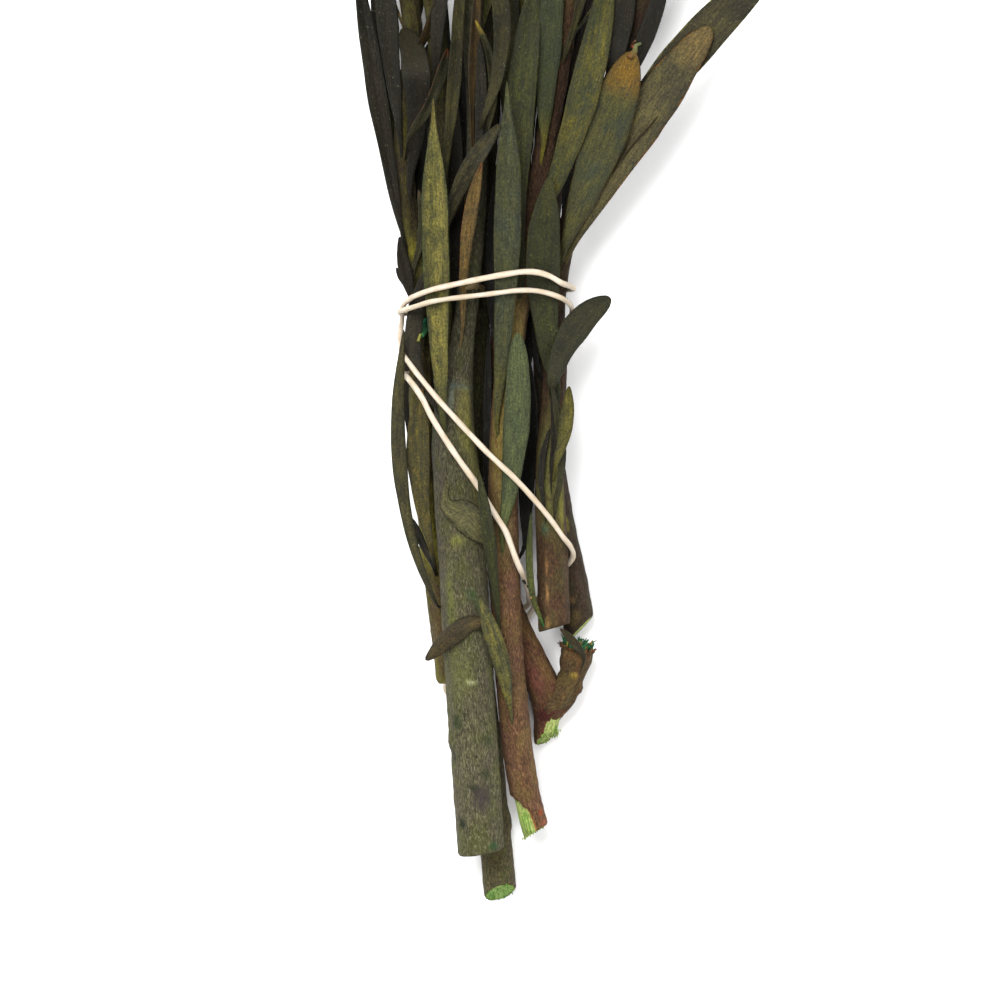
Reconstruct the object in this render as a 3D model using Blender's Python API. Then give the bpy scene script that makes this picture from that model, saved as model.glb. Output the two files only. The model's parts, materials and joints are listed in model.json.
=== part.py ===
"""A tied bunch of seven leucadendron stems, lying down.

The stems run along +Y, from their cut ends to their flower heads, and lie on the plane z = 0.
One elastic band holds them. Each leafy stem, each head and the band is one closed solid.
Lengths in the tables and functions are millimetres, and meshes are made in metres.
"""

import math
import random

import bmesh
import bpy
from mathutils import Matrix, Vector
from mathutils.bvhtree import BVHTree

# Driving dimensions, in millimetres
MM = 0.001
GAP = 0.35
FLOOR_CLEARANCE = 0.15
SHARP_ANGLE = math.radians(35.0)
GOLDEN_ANGLE = math.radians(137.5)
SEED = 24

# Shoots: how close they lie to each other, and how far apart their rings of points are
SHOOT_CLEARANCE = 0.35
SHOOT_ABOVE = 3.0
LINE_STEP = 4.0
RING_STEP = 20.0
FOOT_ROWS = 3

# Leaves laid from the tables
BLADE_THICKNESS = 1.0
BLADE_STEPS = 5
SHORT_LEAF = 32.0
LEAF_FOLD = 0.12
STALK_SHARE = 0.26
TIP_SHARE = 0.18
WIDEST_AT = 0.62
LEAF_LEVEL_SHARE = 0.6
LEAF_LIFTS = (0.0, 0.4, 0.9, 1.6, 2.6, 4.0)
LEAF_ROOTS_BACK = (6.0, 2.0, 10.0, 15.0, 22.0, -4.0)
PROBES_ACROSS = (-1.15, -0.6, 0.0, 0.6, 1.15)
PROBES_ALONG = (-4.0, 0.0, 4.0)
PROBE_HEIGHT = 300.0

# Leaves that stand free above the photo's part of each shoot, and a few on the hidden side
LEAF_LENGTH = 68.0
LEAF_WIDTH = 9.5
LEAF_LOWEST_Y = 108.0
LEAF_NUDGES = (0.0, 0.5, -0.5, 1.0, -1.0, 1.6, -1.6, 2.3, -2.3)
LEAF_SPREADS = (0.3, 0.2, 0.42)
SHOOT_LEAVES = 9
SHOOT_LEAF_STEPS = 4
BACK_LEAF_PLACES = (60.0, 82.0, 104.0)
BACK_LEAF_SHOOTS = ("stem_2", "stem_4", "stem_6", "stem_7")
BACK_LEAF_LEANS = (-1.2, 1.2, -0.6, 0.6, -1.9, 1.9)
BACK_LEAF_WIDTH_SHARE = 0.7
BACK_LEAF_SPREAD = 0.1

# Flower heads
HEAD_LENGTH = 62.0
HEAD_RADIUS = 16.0
HEAD_CLEARANCE = 0.45
BRACT_THICKNESS = 1.1
BRACT_STEPS = 4
BRACT_ROOT = 1.5
BRACT_TURN_IN = 0.12
BRACT_FOLD = 0.18
CONE_HEIGHT = 25.0
CONE_RADIUS = 7.5
CONE_SIDES = 7

# The elastic band
BAND_RADIUS = 0.78
BAND_STEP = 4.2
BAND_SIDES = 6
BAND_ROUNDS = 60
BAND_TRIES = 26
BAND_NUDGE = 0.25
BAND_PROBES = (-1.45, 0.0, 1.45)
FAR_OUT = 60.0

# The middle of the bunch's footprint in the drawing's own coordinates
CENTRE_X = 8.1
CENTRE_Y = 137.5

UP = Vector((0.0, 0.0, 1.0))

# Whorls of bracts in a head: count, share of the length, share of the radius, width, first angle
BRACT_WHORLS = [(7, 1.0, 1.0, 11.5, 0.1), (5, 0.86, 0.66, 9.5, 0.5)]

# Stations of each stem from its cut end to its head: x, y, height of the centre, radius
STEM_2 = [(0.0, -103.0, 4.065, 4.4), (-1.0, -91.0, 4.065, 4.4), (-2.4, -79.0, 4.4, 4.4),
          (-3.6, -65.0, 5.8, 4.3), (-6.2, -41.0, 7.0, 4.2), (-8.1, -10.0, 7.2, 4.1),
          (-7.6, 26.0, 7.0, 3.8), (-5.7, 52.0, 6.8, 3.5), (-4.7, 78.0, 7.4, 3.2),
          (-3.0, 118.0, 9.0, 3.0), (-10.0, 160.0, 11.0, 2.9), (-26.0, 212.0, 14.0, 2.8),
          (-35.0, 262.0, 17.0, 2.8)]
STEM_4 = [(12.5, -62.2, 4.4, 3.4), (13.0, -57.0, 4.9, 4.2), (11.8, -50.0, 6.0, 4.7),
          (7.6, -40.5, 7.0, 4.1), (3.4, -31.0, 7.4, 3.8), (0.2, -18.0, 7.6, 3.6),
          (-0.2, 5.0, 8.0, 3.4), (0.0, 31.0, 7.4, 3.2), (1.6, 52.0, 7.2, 3.1),
          (4.2, 78.0, 7.6, 3.0), (7.6, 115.0, 9.5, 2.9), (11.0, 165.0, 11.5, 2.8),
          (12.0, 215.0, 14.0, 2.8), (12.0, 260.0, 17.0, 2.8)]
STEM_4_STUB = [(11.8, -54.6, 6.0, 4.4), (15.8, -51.4, 6.6, 4.3), (18.6, -46.4, 7.4, 3.5),
               (19.6, -42.2, 8.0, 4.4), (20.2, -39.0, 8.4, 4.3)]
STEM_6 = [(20.9, -34.0, 4.6, 4.3), (18.8, -21.0, 5.6, 4.2), (16.4, -10.0, 6.8, 4.0),
          (14.4, 2.0, 7.2, 3.8), (12.6, 16.0, 7.2, 3.5), (12.0, 31.0, 7.0, 3.2),
          (11.6, 52.0, 7.0, 3.1), (13.0, 74.0, 7.4, 3.0), (16.6, 102.0, 8.4, 2.9),
          (22.0, 132.0, 10.4, 2.9), (35.0, 175.0, 12.5, 2.8), (50.0, 220.0, 15.0, 2.8),
          (58.0, 262.0, 17.0, 2.8)]
STEM_7 = [(-13.3, -47.0, 5.8, 3.4), (-14.0, -38.0, 6.4, 3.7), (-15.8, -24.0, 7.2, 3.7),
          (-17.6, -8.0, 8.2, 3.6), (-19.0, 6.0, 9.4, 3.6), (-20.4, 24.0, 10.4, 3.4),
          (-20.6, 42.0, 11.0, 3.0), (-21.6, 57.0, 12.0, 2.8), (-24.6, 80.0, 12.8, 2.7),
          (-25.0, 101.0, 13.4, 2.7), (-22.8, 122.0, 14.4, 2.7), (-30.0, 155.0, 15.0, 2.7),
          (-58.0, 207.0, 16.0, 2.7), (-86.0, 252.0, 17.0, 2.7)]
STEM_5 = [(14.2, -33.3, 14.6, 4.4), (13.6, -15.6, 15.6, 4.3), (13.0, 0.0, 15.8, 4.1),
          (13.0, 13.0, 15.8, 3.7), (13.9, 26.0, 15.6, 3.3), (14.4, 37.0, 15.2, 3.1),
          (14.0, 50.0, 14.8, 3.0), (16.1, 65.0, 14.8, 3.0), (20.0, 76.7, 15.0, 2.9),
          (24.7, 91.0, 15.4, 2.9), (31.0, 113.0, 16.2, 2.8), (39.0, 133.0, 17.0, 2.8),
          (60.0, 175.0, 17.5, 2.8), (84.0, 215.0, 17.5, 2.8), (104.0, 254.0, 17.0, 2.8)]
STEM_3 = [(9.1, -86.8, 9.0, 4.1), (6.6, -77.0, 9.6, 4.1), (4.2, -62.4, 11.4, 4.1),
          (3.0, -49.4, 13.4, 4.1), (2.0, -36.4, 15.0, 4.1), (1.3, -20.8, 16.2, 4.1),
          (0.8, -2.6, 16.8, 4.1), (1.0, 15.6, 17.0, 3.9), (1.6, 28.6, 17.0, 3.5),
          (3.6, 44.2, 17.0, 3.2), (5.8, 56.0, 17.2, 3.1), (8.6, 75.0, 17.6, 3.0),
          (12.6, 97.0, 18.4, 2.9), (17.0, 122.0, 20.0, 2.8), (24.0, 165.0, 22.0, 2.8),
          (32.0, 220.0, 22.0, 2.8), (36.0, 310.0, 18.0, 2.8)]
STEM_1 = [(-4.9, -91.5, 15.0, 6.3), (-6.5, -67.6, 16.6, 6.5), (-8.3, -41.6, 17.4, 6.5),
          (-9.8, -15.6, 17.6, 6.4), (-11.2, 5.0, 17.6, 6.3), (-12.0, 17.0, 17.8, 5.9),
          (-11.4, 28.0, 18.2, 4.6), (-9.8, 42.0, 18.8, 3.3), (-8.1, 54.0, 19.2, 3.0),
          (-6.4, 78.0, 19.8, 2.9), (-6.0, 102.0, 21.0, 2.9), (-7.4, 128.0, 23.0, 2.8),
          (-10.0, 170.0, 25.0, 2.8), (-13.0, 220.0, 23.0, 2.8), (-14.0, 308.0, 18.0, 2.8)]
STEM_1_LEFT = [(-12.6, 14.0, 17.8, 4.4), (-14.0, 32.0, 17.8, 3.2), (-15.0, 50.0, 18.0, 2.8),
               (-15.9, 76.0, 18.6, 2.7), (-16.4, 104.0, 20.0, 2.7), (-17.4, 130.0, 22.0, 2.7),
               (-29.0, 172.0, 22.0, 2.7), (-52.0, 240.0, 19.0, 2.7), (-66.0, 318.0, 17.0, 2.7)]

# How the lower cut of each shoot slants: towards the top of the stem, then towards its right side
CUTS = {"stem_1": (0.05, 0.12), "stem_1_left": (0.0, 0.0), "stem_2": (0.5, 0.22),
        "stem_3": (0.12, 0.3), "stem_4": (0.6, 0.65), "stem_4_stub": (0.0, 0.0),
        "stem_5": (0.1, 0.25), "stem_6": (0.2, 0.75), "stem_7": (0.0, 0.2)}

# Shoots in the order in which they are laid: name, node, stations, sides, head or none
SHOOTS = [("stem_2", "stem_2", STEM_2, 8, "head_1"),
          ("stem_4", "stem_4", STEM_4, 7, "head_2"),
          ("stem_6", "stem_6", STEM_6, 7, "head_3"),
          ("stem_7", "stem_7", STEM_7, 7, "head_4"),
          ("stem_5", "stem_5", STEM_5, 8, "head_5"),
          ("stem_3", "stem_3", STEM_3, 8, "head_6"),
          ("stem_1", "stem_1", STEM_1, 9, "head_7"),
          ("stem_1_left", "stem_1", STEM_1_LEFT, 7, "head_8"),
          ("stem_4_stub", "stem_4", STEM_4_STUB, 7, None)]

# Leaves deep in the bunch, between its lower and its upper stems: shoot, width, base, middle and tip
DEEP_LEAVES = [
    ("stem_3", 2.4, (-3.2, -8.0, 14.0), (-3.4, 14.0, 14.2), (-2.8, 44.0, 13.6)),
    ("stem_3", 3.6, (-1.4, 42.0, 13.4), (-2.0, 62.0, 13.4), (0.4, 92.0, 13.8)),
    ("stem_1", 5.6, (-11.6, 46.0, 14.0), (-12.2, 72.0, 14.0), (-12.0, 106.0, 15.0)),
    ("stem_3", 5.4, (6.4, -12.0, 12.6), (7.0, 10.0, 12.6), (7.4, 36.0, 12.4)),
    ("stem_5", 5.2, (9.6, 36.0, 11.8), (9.4, 58.0, 11.8), (10.6, 88.0, 12.4)),
    ("stem_4", 5.6, (4.0, 84.0, 10.4), (2.6, 108.0, 11.6), (3.2, 143.0, 13.0)),
    ("stem_3", 4.0, (11.6, 78.0, 14.4), (11.0, 92.0, 14.4), (15.0, 116.0, 15.6)),
    ("stem_5", 5.2, (17.4, 60.0, 12.4), (18.6, 80.0, 12.4), (22.0, 106.0, 13.0)),
    ("stem_7", 5.4, (-27.0, 92.0, 10.0), (-29.6, 114.0, 10.0), (-33.0, 143.0, 11.0)),
]

# Leaves that the band crosses, or that lie clear of it, from the lowest to the uppermost:
# shoot, width, roll in degrees, base, middle and tip
LEAVES_UNDER_BAND = [
    ("stem_7", 5.7, 0, (-26.0, 95.0), (-28.9, 119.6), (-30.7, 142.0)),
    ("stem_7", 5.7, 20, (-25.8, 71.0), (-31.0, 99.0), (-37.5, 139.0)),
    ("stem_7", 4.2, 35, (-22.4, 114.4), (-16.6, 126.5), (-13.5, 141.0)),
    ("stem_1_left", 3.9, 0, (-16.6, 109.0), (-16.0, 123.0), (-13.5, 144.0)),
    ("stem_7", 7.5, -5, (-23.4, 83.7), (-21.3, 106.6), (-25.0, 122.0)),
    ("stem_7", 4.2, 40, (-23.4, 93.6), (-17.2, 105.0), (-13.8, 116.0)),
    ("stem_1_left", 4.2, 30, (-14.8, 79.3), (-12.2, 106.6), (-9.6, 143.0)),
    ("stem_1", 3.6, 40, (-6.8, 87.1), (-7.1, 112.0), (-5.2, 141.0)),
    ("stem_1", 3.1, 0, (-6.0, 87.1), (-5.0, 102.0), (-5.2, 118.0)),
    ("stem_1", 2.6, 10, (-4.4, 91.0), (-1.8, 108.0), (-6.0, 123.0)),
    ("stem_1", 4.9, 10, (-4.4, 98.0), (0.4, 119.0), (-2.6, 142.0)),
    ("stem_5", 6.2, 40, (28.6, 104.5), (37.0, 118.5), (43.2, 139.0)),
    ("stem_5", 6.2, 0, (27.8, 105.3), (31.0, 121.0), (33.8, 143.0)),
    ("stem_5", 10.9, 0, (22.4, 81.9), (45.0, 112.0), (72.0, 140.0)),
    ("stem_5", 5.2, 40, (20.4, 70.4), (33.6, 89.4), (44.5, 102.2)),
    ("stem_5", 11.4, 0, (19.6, 68.0), (34.7, 94.7), (53.8, 121.7)),
    ("stem_5", 12.0, 0, (17.1, 67.0), (26.0, 91.3), (34.0, 115.0)),
    ("stem_3", 3.1, 30, (17.2, 116.5), (20.8, 130.0), (21.8, 143.0)),
    ("stem_3", 8.3, 10, (10.4, 73.3), (20.2, 100.0), (28.5, 137.0)),
    ("stem_3", 6.8, 0, (11.4, 92.8), (12.4, 114.0), (14.8, 143.0)),
    ("stem_3", 7.8, 0, (5.5, 56.0), (4.4, 91.0), (9.8, 139.0)),
    ("stem_1_left", 4.7, 0, (-14.0, 71.0), (-8.8, 84.0), (-0.4, 96.4)),
    ("stem_3", 7.0, 0, (-0.8, 22.0), (1.7, 62.0), (1.8, 106.1)),
    ("stem_7", 2.4, 10, (-22.6, 59.3), (-20.3, 70.2), (-21.1, 80.1)),
    ("stem_7", 2.4, 20, (-23.4, 54.6), (-25.0, 57.0), (-26.9, 60.4)),
    ("stem_7", 3.6, 10, (-22.4, 51.5), (-24.6, 59.0), (-26.0, 68.0)),
    ("stem_1_left", 4.4, 0, (-16.6, 24.0), (-22.4, 42.0), (-16.6, 63.2)),
    ("stem_1_left", 7.0, 0, (-14.6, 20.0), (-16.4, 57.0), (-17.2, 101.7)),
    ("stem_1", 3.9, 20, (-9.6, 45.5), (-8.6, 68.0), (-4.9, 86.3)),
    ("stem_3", 7.0, 0, (0.6, -8.2), (4.0, 16.0), (4.6, 42.1)),
    ("stem_7", 2.6, 0, (-18.2, -15.6), (-21.8, -8.3), (-25.7, -2.9)),
    ("stem_7", 6.0, 0, (-17.8, -12.5), (-21.0, 8.0), (-20.3, 28.1)),
    ("stem_5", 9.0, 0, (14.6, 27.3), (11.2, 56.0), (12.7, 82.4)),
    ("stem_5", 1.9, 0, (11.4, -1.3), (10.7, 7.8), (12.8, 18.2)),
    ("stem_5", 2.4, 0, (13.3, 7.8), (14.3, 18.2), (13.8, 29.1)),
    ("stem_5", 2.6, 20, (14.3, -1.3), (15.9, 12.0), (13.3, 29.9)),
    ("stem_5", 3.6, 0, (14.6, 9.9), (17.0, 18.7), (17.9, 29.1)),
    ("stem_4_stub", 2.3, 0, (22.0, -41.5), (19.6, -37.6), (15.9, -33.6)),
]
LEAVES_OVER_BAND = [
    ("stem_7", 3.9, 10, (-16.6, -26.5), (-25.4, 4.0), (-25.0, 42.4)),
    ("stem_1", 8.4, 0, (-14.0, -0.8), (-8.6, -4.4), (-3.6, -10.4)),
    ("stem_5", 7.5, 0, (13.4, 30.6), (19.0, 43.6), (28.1, 52.3)),
    ("stem_3", 3.4, 10, (-0.3, -32.5), (-2.4, -14.0), (-5.5, 7.2)),
    ("stem_1", 5.2, 0, (-3.4, -30.4), (-10.6, -33.6), (-18.9, -41.1)),
    ("stem_3", 4.9, 0, (2.3, -52.0), (-0.2, -40.6), (-4.9, -26.0)),
    ("stem_5", 1.9, 0, (10.9, -31.7), (7.9, -20.8), (8.0, -4.0)),
]

# The middle of the bunch where the band goes round it: x and height
CORE = (-4.0, 12.0)

# The band's route from the left end of its upper strand. A top row gives x and y of a place on the
# front. A round row gives the angle round the core, y, and how far out it stands. A held row gives
# x, y and height where the band passes between or under the stems.
BAND_ROUTE = [
    ("round", 140.0, 52.6, 0.4), ("top", -18.2, 54.0), ("top", -10.4, 55.9), ("top", 0.0, 58.0),
    ("top", 7.8, 59.0), ("top", 13.0, 57.8), ("top", 15.8, 56.2), ("round", 8.0, 55.2, 0.0),
    ("round", -24.0, 55.0, 0.0),
    ("round", -60.0, 54.0, 0.0), ("round", -100.0, 51.5, 0.0), ("round", -140.0, 49.5, 0.0),
    ("round", 180.0, 48.6, 0.0), ("round", 150.0, 49.2, 0.0), ("round", 132.0, 50.6, 0.0),
    ("top", -15.3, 51.6), ("top", -4.0, 53.0), ("top", 6.0, 54.2), ("top", 12.0, 53.6),
    ("top", 15.6, 52.4), ("round", 8.0, 49.8, 0.0), ("round", -16.0, 44.6, 0.3),
    ("round", -44.0, 39.6, 0.0), ("round", -70.0, 35.0, 0.0), ("round", -100.0, 31.6, 0.0),
    ("round", -130.0, 32.0, 0.0), ("round", 180.0, 33.0, 0.0), ("round", 150.0, 31.8, 0.0),
    ("top", -20.6, 27.2), ("top", -17.2, 20.6), ("top", -11.4, 11.6),
    ("top", -5.9, 3.8), ("top", -1.8, -3.0), ("top", 1.4, -8.0), ("top", 4.0, -15.0),
    ("held", 7.0, -22.0, 17.0), ("held", 8.0, -26.0, 11.0), ("held", 6.4, -29.0, 4.0),
    ("held", 0.0, -32.0, 1.1), ("held", -7.0, -38.4, 1.1), ("held", -12.4, -44.6, 1.1),
    ("held", -15.8, -49.0, 2.2), ("held", -16.2, -51.6, 3.4), ("held", -13.8, -53.4, 2.4),
    ("held", -8.0, -49.4, 1.1), ("held", 0.0, -39.6, 1.1), ("held", 7.6, -31.4, 1.3),
    ("held", 11.2, -23.0, 5.0), ("held", 14.6, -18.4, 9.6), ("held", 18.2, -16.2, 11.6),
    ("held", 19.4, -13.4, 15.8), ("top", 16.2, -9.4), ("top", 12.0, -3.6), ("top", 4.4, 5.0),
    ("top", -3.0, 12.0), ("top", -11.0, 20.5), ("top", -18.0, 28.4), ("round", 146.0, 36.0, 0.0),
    ("round", 165.0, 40.6, 0.0), ("round", 172.0, 45.0, 0.4), ("round", 160.0, 49.8, 1.0),
]

COLOURS = {"stem_1": (0.085, 0.095, 0.045), "stem_2": (0.075, 0.085, 0.04),
           "stem_3": (0.11, 0.062, 0.04), "stem_4": (0.09, 0.05, 0.035),
           "stem_5": (0.11, 0.08, 0.04), "stem_6": (0.05, 0.042, 0.028),
           "stem_7": (0.085, 0.09, 0.035), "head": (0.1, 0.11, 0.04),
           "elastic_band": (0.8, 0.72, 0.58)}


def outward_tree(verts, faces):
    """A search tree of a closed solid whose faces point out."""
    work = bmesh.new()
    corners = [work.verts.new(v) for v in verts]
    for face in faces:
        work.faces.new([corners[i] for i in face])
    bmesh.ops.recalc_face_normals(work, faces=work.faces)
    tree = BVHTree.FromBMesh(work)
    work.free()
    return tree


class Placed:
    """A laid solid, kept for finding what lies under or in the way of the next one."""

    def __init__(self, node, verts, faces):
        self.node = node
        self.tree = outward_tree(verts, faces)
        self.low = Vector([min(v[i] for v in verts) for i in range(3)])
        self.high = Vector([max(v[i] for v in verts) for i in range(3)])

    def covers(self, x, y):
        """Whether a point is within this solid's footprint box."""
        return self.low.x <= x <= self.high.x and self.low.y <= y <= self.high.y

    def near(self, low, high):
        """Whether a box meets this solid's box."""
        return all(self.low[i] <= high[i] and low[i] <= self.high[i] for i in range(3))


def clear_scene():
    """Remove every object that the scene starts with."""
    for item in list(bpy.data.objects):
        bpy.data.objects.remove(item, do_unlink=True)


def catmull(a, b, c, d, t):
    """A point on the smooth curve between b and c."""
    return 0.5 * (2.0 * b + (c - a) * t + (2.0 * a - 5.0 * b + 4.0 * c - d) * t * t
                  + (3.0 * b - a - 3.0 * c + d) * t ** 3)


def smooth_rows(rows, step, closed=False):
    """Rows of numbers, resampled every step along a smooth curve through them."""
    count = len(rows)
    spans = count if closed else count - 1
    fine = []
    for i in range(spans):
        picks = [i - 1, i, i + 1, i + 2]
        if closed:
            four = [rows[p % count] for p in picks]
        else:
            four = [rows[min(max(p, 0), count - 1)] for p in picks]
        length = math.dist(four[1][:3], four[2][:3])
        pieces = max(1, round(length / step))
        for k in range(pieces):
            t = k / pieces
            fine.append([catmull(*values, t) for values in zip(*four)])
    if not closed:
        fine.append(list(rows[-1]))
    return fine


def raise_hollows(heights, rounds=200, share=1.0):
    """Lift the dips in a run of heights, as something stiff bridges them."""
    for _ in range(rounds):
        for i in range(1, len(heights) - 1):
            bridge = (heights[i - 1] + heights[i + 1]) / 2.0
            heights[i] = max(heights[i], heights[i] + share * (bridge - heights[i]))
    return heights


def lay_line(stations, laid_lines):
    """A shoot's centre line, lifted where it would cross the shoots laid before it."""
    line = smooth_rows(stations, LINE_STEP)
    lifts = []
    for x, y, z, radius in line:
        need = z
        for other in laid_lines:
            for ox, oy, oz, other_radius in other:
                if abs(oy - y) > LINE_STEP:
                    continue
                reach = radius + other_radius + GAP + SHOOT_CLEARANCE
                aside = abs(ox - x)
                if aside < reach and oz < z + SHOOT_ABOVE:
                    need = max(need, oz + math.sqrt(reach * reach - aside * aside))
        lifts.append(need - z)
    raise_hollows(lifts, rounds=40)
    return [[x, y, z + lift, radius] for (x, y, z, radius), lift in zip(line, lifts)]


def tangents(points, closed=False):
    """The direction of a line at each of its points."""
    count = len(points)
    result = []
    for i in range(count):
        if closed:
            before, after = points[i - 1], points[(i + 1) % count]
        else:
            before, after = points[max(i - 1, 0)], points[min(i + 1, count - 1)]
        result.append((after - before).normalized())
    return result


def ring_faces(rings, sides, closed=False):
    """Faces between rings of points, with a cap at each end unless the rings close on themselves."""
    faces = []
    spans = rings if closed else rings - 1
    for i in range(spans):
        a = i * sides
        b = ((i + 1) % rings) * sides
        for k in range(sides):
            n = (k + 1) % sides
            faces.append((a + k, a + n, b + n))
            faces.append((a + k, b + n, b + k))
    if not closed:
        last = (rings - 1) * sides
        faces.append(tuple(reversed(range(sides))))
        faces.append(tuple(range(last, last + sides)))
    return faces


def stem_solid(line, sides, cut):
    """A stem: rings of points along its line, with a flat side down and a slanted lower cut."""
    stride = max(1, round(RING_STEP / LINE_STEP))
    keep = [0, FOOT_ROWS] + list(range(FOOT_ROWS + stride, len(line) - 1, stride)) + [len(line) - 1]
    keep = sorted(set(keep))
    picked = [line[i] for i in keep]
    points = [Vector(row[:3]) for row in picked]
    ways = tangents(points)
    verts = []
    for i, (point, way, row) in enumerate(zip(points, ways, picked)):
        side = way.cross(UP).normalized()
        top = side.cross(way)
        for k in range(sides):
            angle = -math.pi / 2.0 + (k + 0.5) * 2.0 * math.pi / sides
            offset = row[3] * (math.cos(angle) * side + math.sin(angle) * top)
            slant = 0.0
            if i == 0:
                slant = cut[0] * offset.dot(top) + cut[1] * offset.dot(side)
            verts.append(point + offset + way * slant)
    return verts, ring_faces(len(picked), sides)


def leaf_profile(t):
    """A leaf's width at a share of its length: a narrow stalk, widest past the middle, a blunt tip."""
    stalk = STALK_SHARE + (1.0 - STALK_SHARE) * min(1.0, t / WIDEST_AT) ** 1.3
    tip = math.sqrt(max(0.0, 1.0 - max(0.0, (t - WIDEST_AT) / (1.02 - WIDEST_AT)) ** 2.4))
    return max(TIP_SHARE, stalk * tip)


def blade_solid(points, normals, width, thickness, profile=leaf_profile, fold=LEAF_FOLD):
    """A thin blade: left edge, upper rib, right edge and lower rib at each of its stations."""
    ways = tangents(points)
    verts = []
    count = len(points)
    for i, (point, way, normal) in enumerate(zip(points, ways, normals)):
        t = i / (count - 1)
        side = way.cross(normal).normalized()
        face = side.cross(way).normalized()
        half = 0.5 * width * profile(t)
        lift = face * half * fold
        rib = face * min(thickness / 2.0, 0.35 + half)
        verts.extend([point - side * half + lift, point + rib, point + side * half + lift, point - rib])
    faces = []
    for i in range(count - 1):
        a = 4 * i
        b = a + 4
        for edge in (0, 2):
            for rib_corner in (1, 3):
                forward = (rib_corner - edge) % 4 == 1
                quad = (a + edge, a + rib_corner, b + rib_corner, b + edge)
                split = [(quad[0], quad[1], quad[2]), (quad[0], quad[2], quad[3])]
                faces.extend(split if forward else [tuple(reversed(f)) for f in split])
    last = 4 * (count - 1)
    faces.append((3, 2, 1, 0))
    faces.append((last, last + 1, last + 2, last + 3))
    return verts, faces


def highest_at(placed, x, y, skip=None):
    """The height of the uppermost laid surface at a point, or of the floor."""
    best = 0.0
    for item in placed:
        if item is skip or not item.covers(x, y):
            continue
        hit = item.tree.ray_cast(Vector((x, y, PROBE_HEIGHT)), -UP)[0]
        if hit is not None and hit.z > best:
            best = hit.z
    return best


def hits_other(placed, node, verts, faces):
    """Whether a solid crosses any laid solid of another node."""
    low = Vector([min(v[i] for v in verts) for i in range(3)])
    high = Vector([max(v[i] for v in verts) for i in range(3)])
    tree = None
    for item in placed:
        if item.node == node or not item.near(low, high):
            continue
        if tree is None:
            tree = BVHTree.FromPolygons(verts, faces)
        if tree.overlap(item.tree):
            return True
    return False


def nearest_row(line, x, y):
    """The index of a line's point nearest to a place seen from above."""
    return min(range(len(line)), key=lambda i: (line[i][0] - x) ** 2 + (line[i][1] - y) ** 2)


def draped_leaf(placed, line, width, roll, base, middle, tip, back, lift):
    """The centre line and normals of a leaf that lies on what is below it."""
    steps = BLADE_STEPS if math.dist(base, tip) > SHORT_LEAF else BLADE_STEPS - 2
    way_back = -1.0 if tip[1] > base[1] else 1.0
    root_row = line[nearest_row(line, base[0], base[1] + way_back * back)]
    root = Vector(root_row[:3])
    flat = []
    for i in range(steps + 1):
        flat.append(three_point_curve((*base, 0.0), (*middle, 0.0), (*tip, 0.0), i / steps))
    ways = tangents(flat)
    tilt = math.radians(roll)
    heights = []
    for i, (spot, way) in enumerate(zip(flat, ways)):
        across = Vector((way.y, -way.x, 0.0))
        half = 0.5 * width * leaf_profile((i + 1) / (steps + 1))
        ground = 0.0
        for share in PROBES_ACROSS:
            for ahead in PROBES_ALONG:
                place = spot + across * half * share + way * ahead
                ground = max(ground, highest_at(placed, place.x, place.y))
        heights.append(ground + GAP + BLADE_THICKNESS / 2.0 + half * abs(math.sin(tilt)) + lift)
    level = root.z + root_row[3] * LEAF_LEVEL_SHARE
    heights = [max(h, level) for h in heights]
    raise_hollows(heights, rounds=60)
    points = [root] + [Vector((spot.x, spot.y, h)) for spot, h in zip(flat, heights)]
    turned = tangents(points)
    normals = []
    for way in turned:
        normal = UP - way * UP.dot(way)
        normals.append(Matrix.Rotation(tilt, 3, way) @ normal.normalized())
    return points, normals


def three_point_curve(base, middle, tip, t):
    """A point on the parabola through a leaf's base, middle and tip."""
    a = (1.0 - t) * (1.0 - 2.0 * t)
    b = 4.0 * t * (1.0 - t)
    c = t * (2.0 * t - 1.0)
    return Vector([a * p + b * q + c * r for p, q, r in zip(base, middle, tip)])


def place_deep_leaf(placed, shoots, row, parts):
    """Lay one leaf deep in the bunch at its own heights, trying nearby roots until it is clear."""
    shoot, width, base, middle, tip = row
    node, line = shoots[shoot]
    for back in LEAF_ROOTS_BACK:
        root = Vector(line[nearest_row(line, base[0], base[1] - back)][:3])
        points = [root] + [three_point_curve(base, middle, tip, i / BLADE_STEPS)
                           for i in range(BLADE_STEPS + 1)]
        normals = [(UP - way * UP.dot(way)).normalized() for way in tangents(points)]
        wide = blade_solid(points, normals, width + 2.0 * GAP, BLADE_THICKNESS + 2.0 * GAP)
        if hits_other(placed, node, *wide):
            continue
        solid = blade_solid(points, normals, width, BLADE_THICKNESS)
        parts[node].append(solid)
        placed.append(Placed(node, *solid))
        return True
    return False


def place_leaf(placed, shoots, row, parts):
    """Lay one leaf of the tables, trying nearby roots and small lifts until it is clear."""
    shoot, width, roll, base, middle, tip = row
    node, line = shoots[shoot]
    for lift in LEAF_LIFTS:
        for back in LEAF_ROOTS_BACK:
            for turn in (roll, 0, -roll):
                points, normals = draped_leaf(placed, line, width, turn, base, middle, tip, back, lift)
                wide = blade_solid(points, normals, width + 2.0 * GAP, BLADE_THICKNESS + 2.0 * GAP)
                if hits_other(placed, node, *wide):
                    continue
                solid = blade_solid(points, normals, width, BLADE_THICKNESS)
                parts[node].append(solid)
                placed.append(Placed(node, *solid))
                return True
    return False


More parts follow.
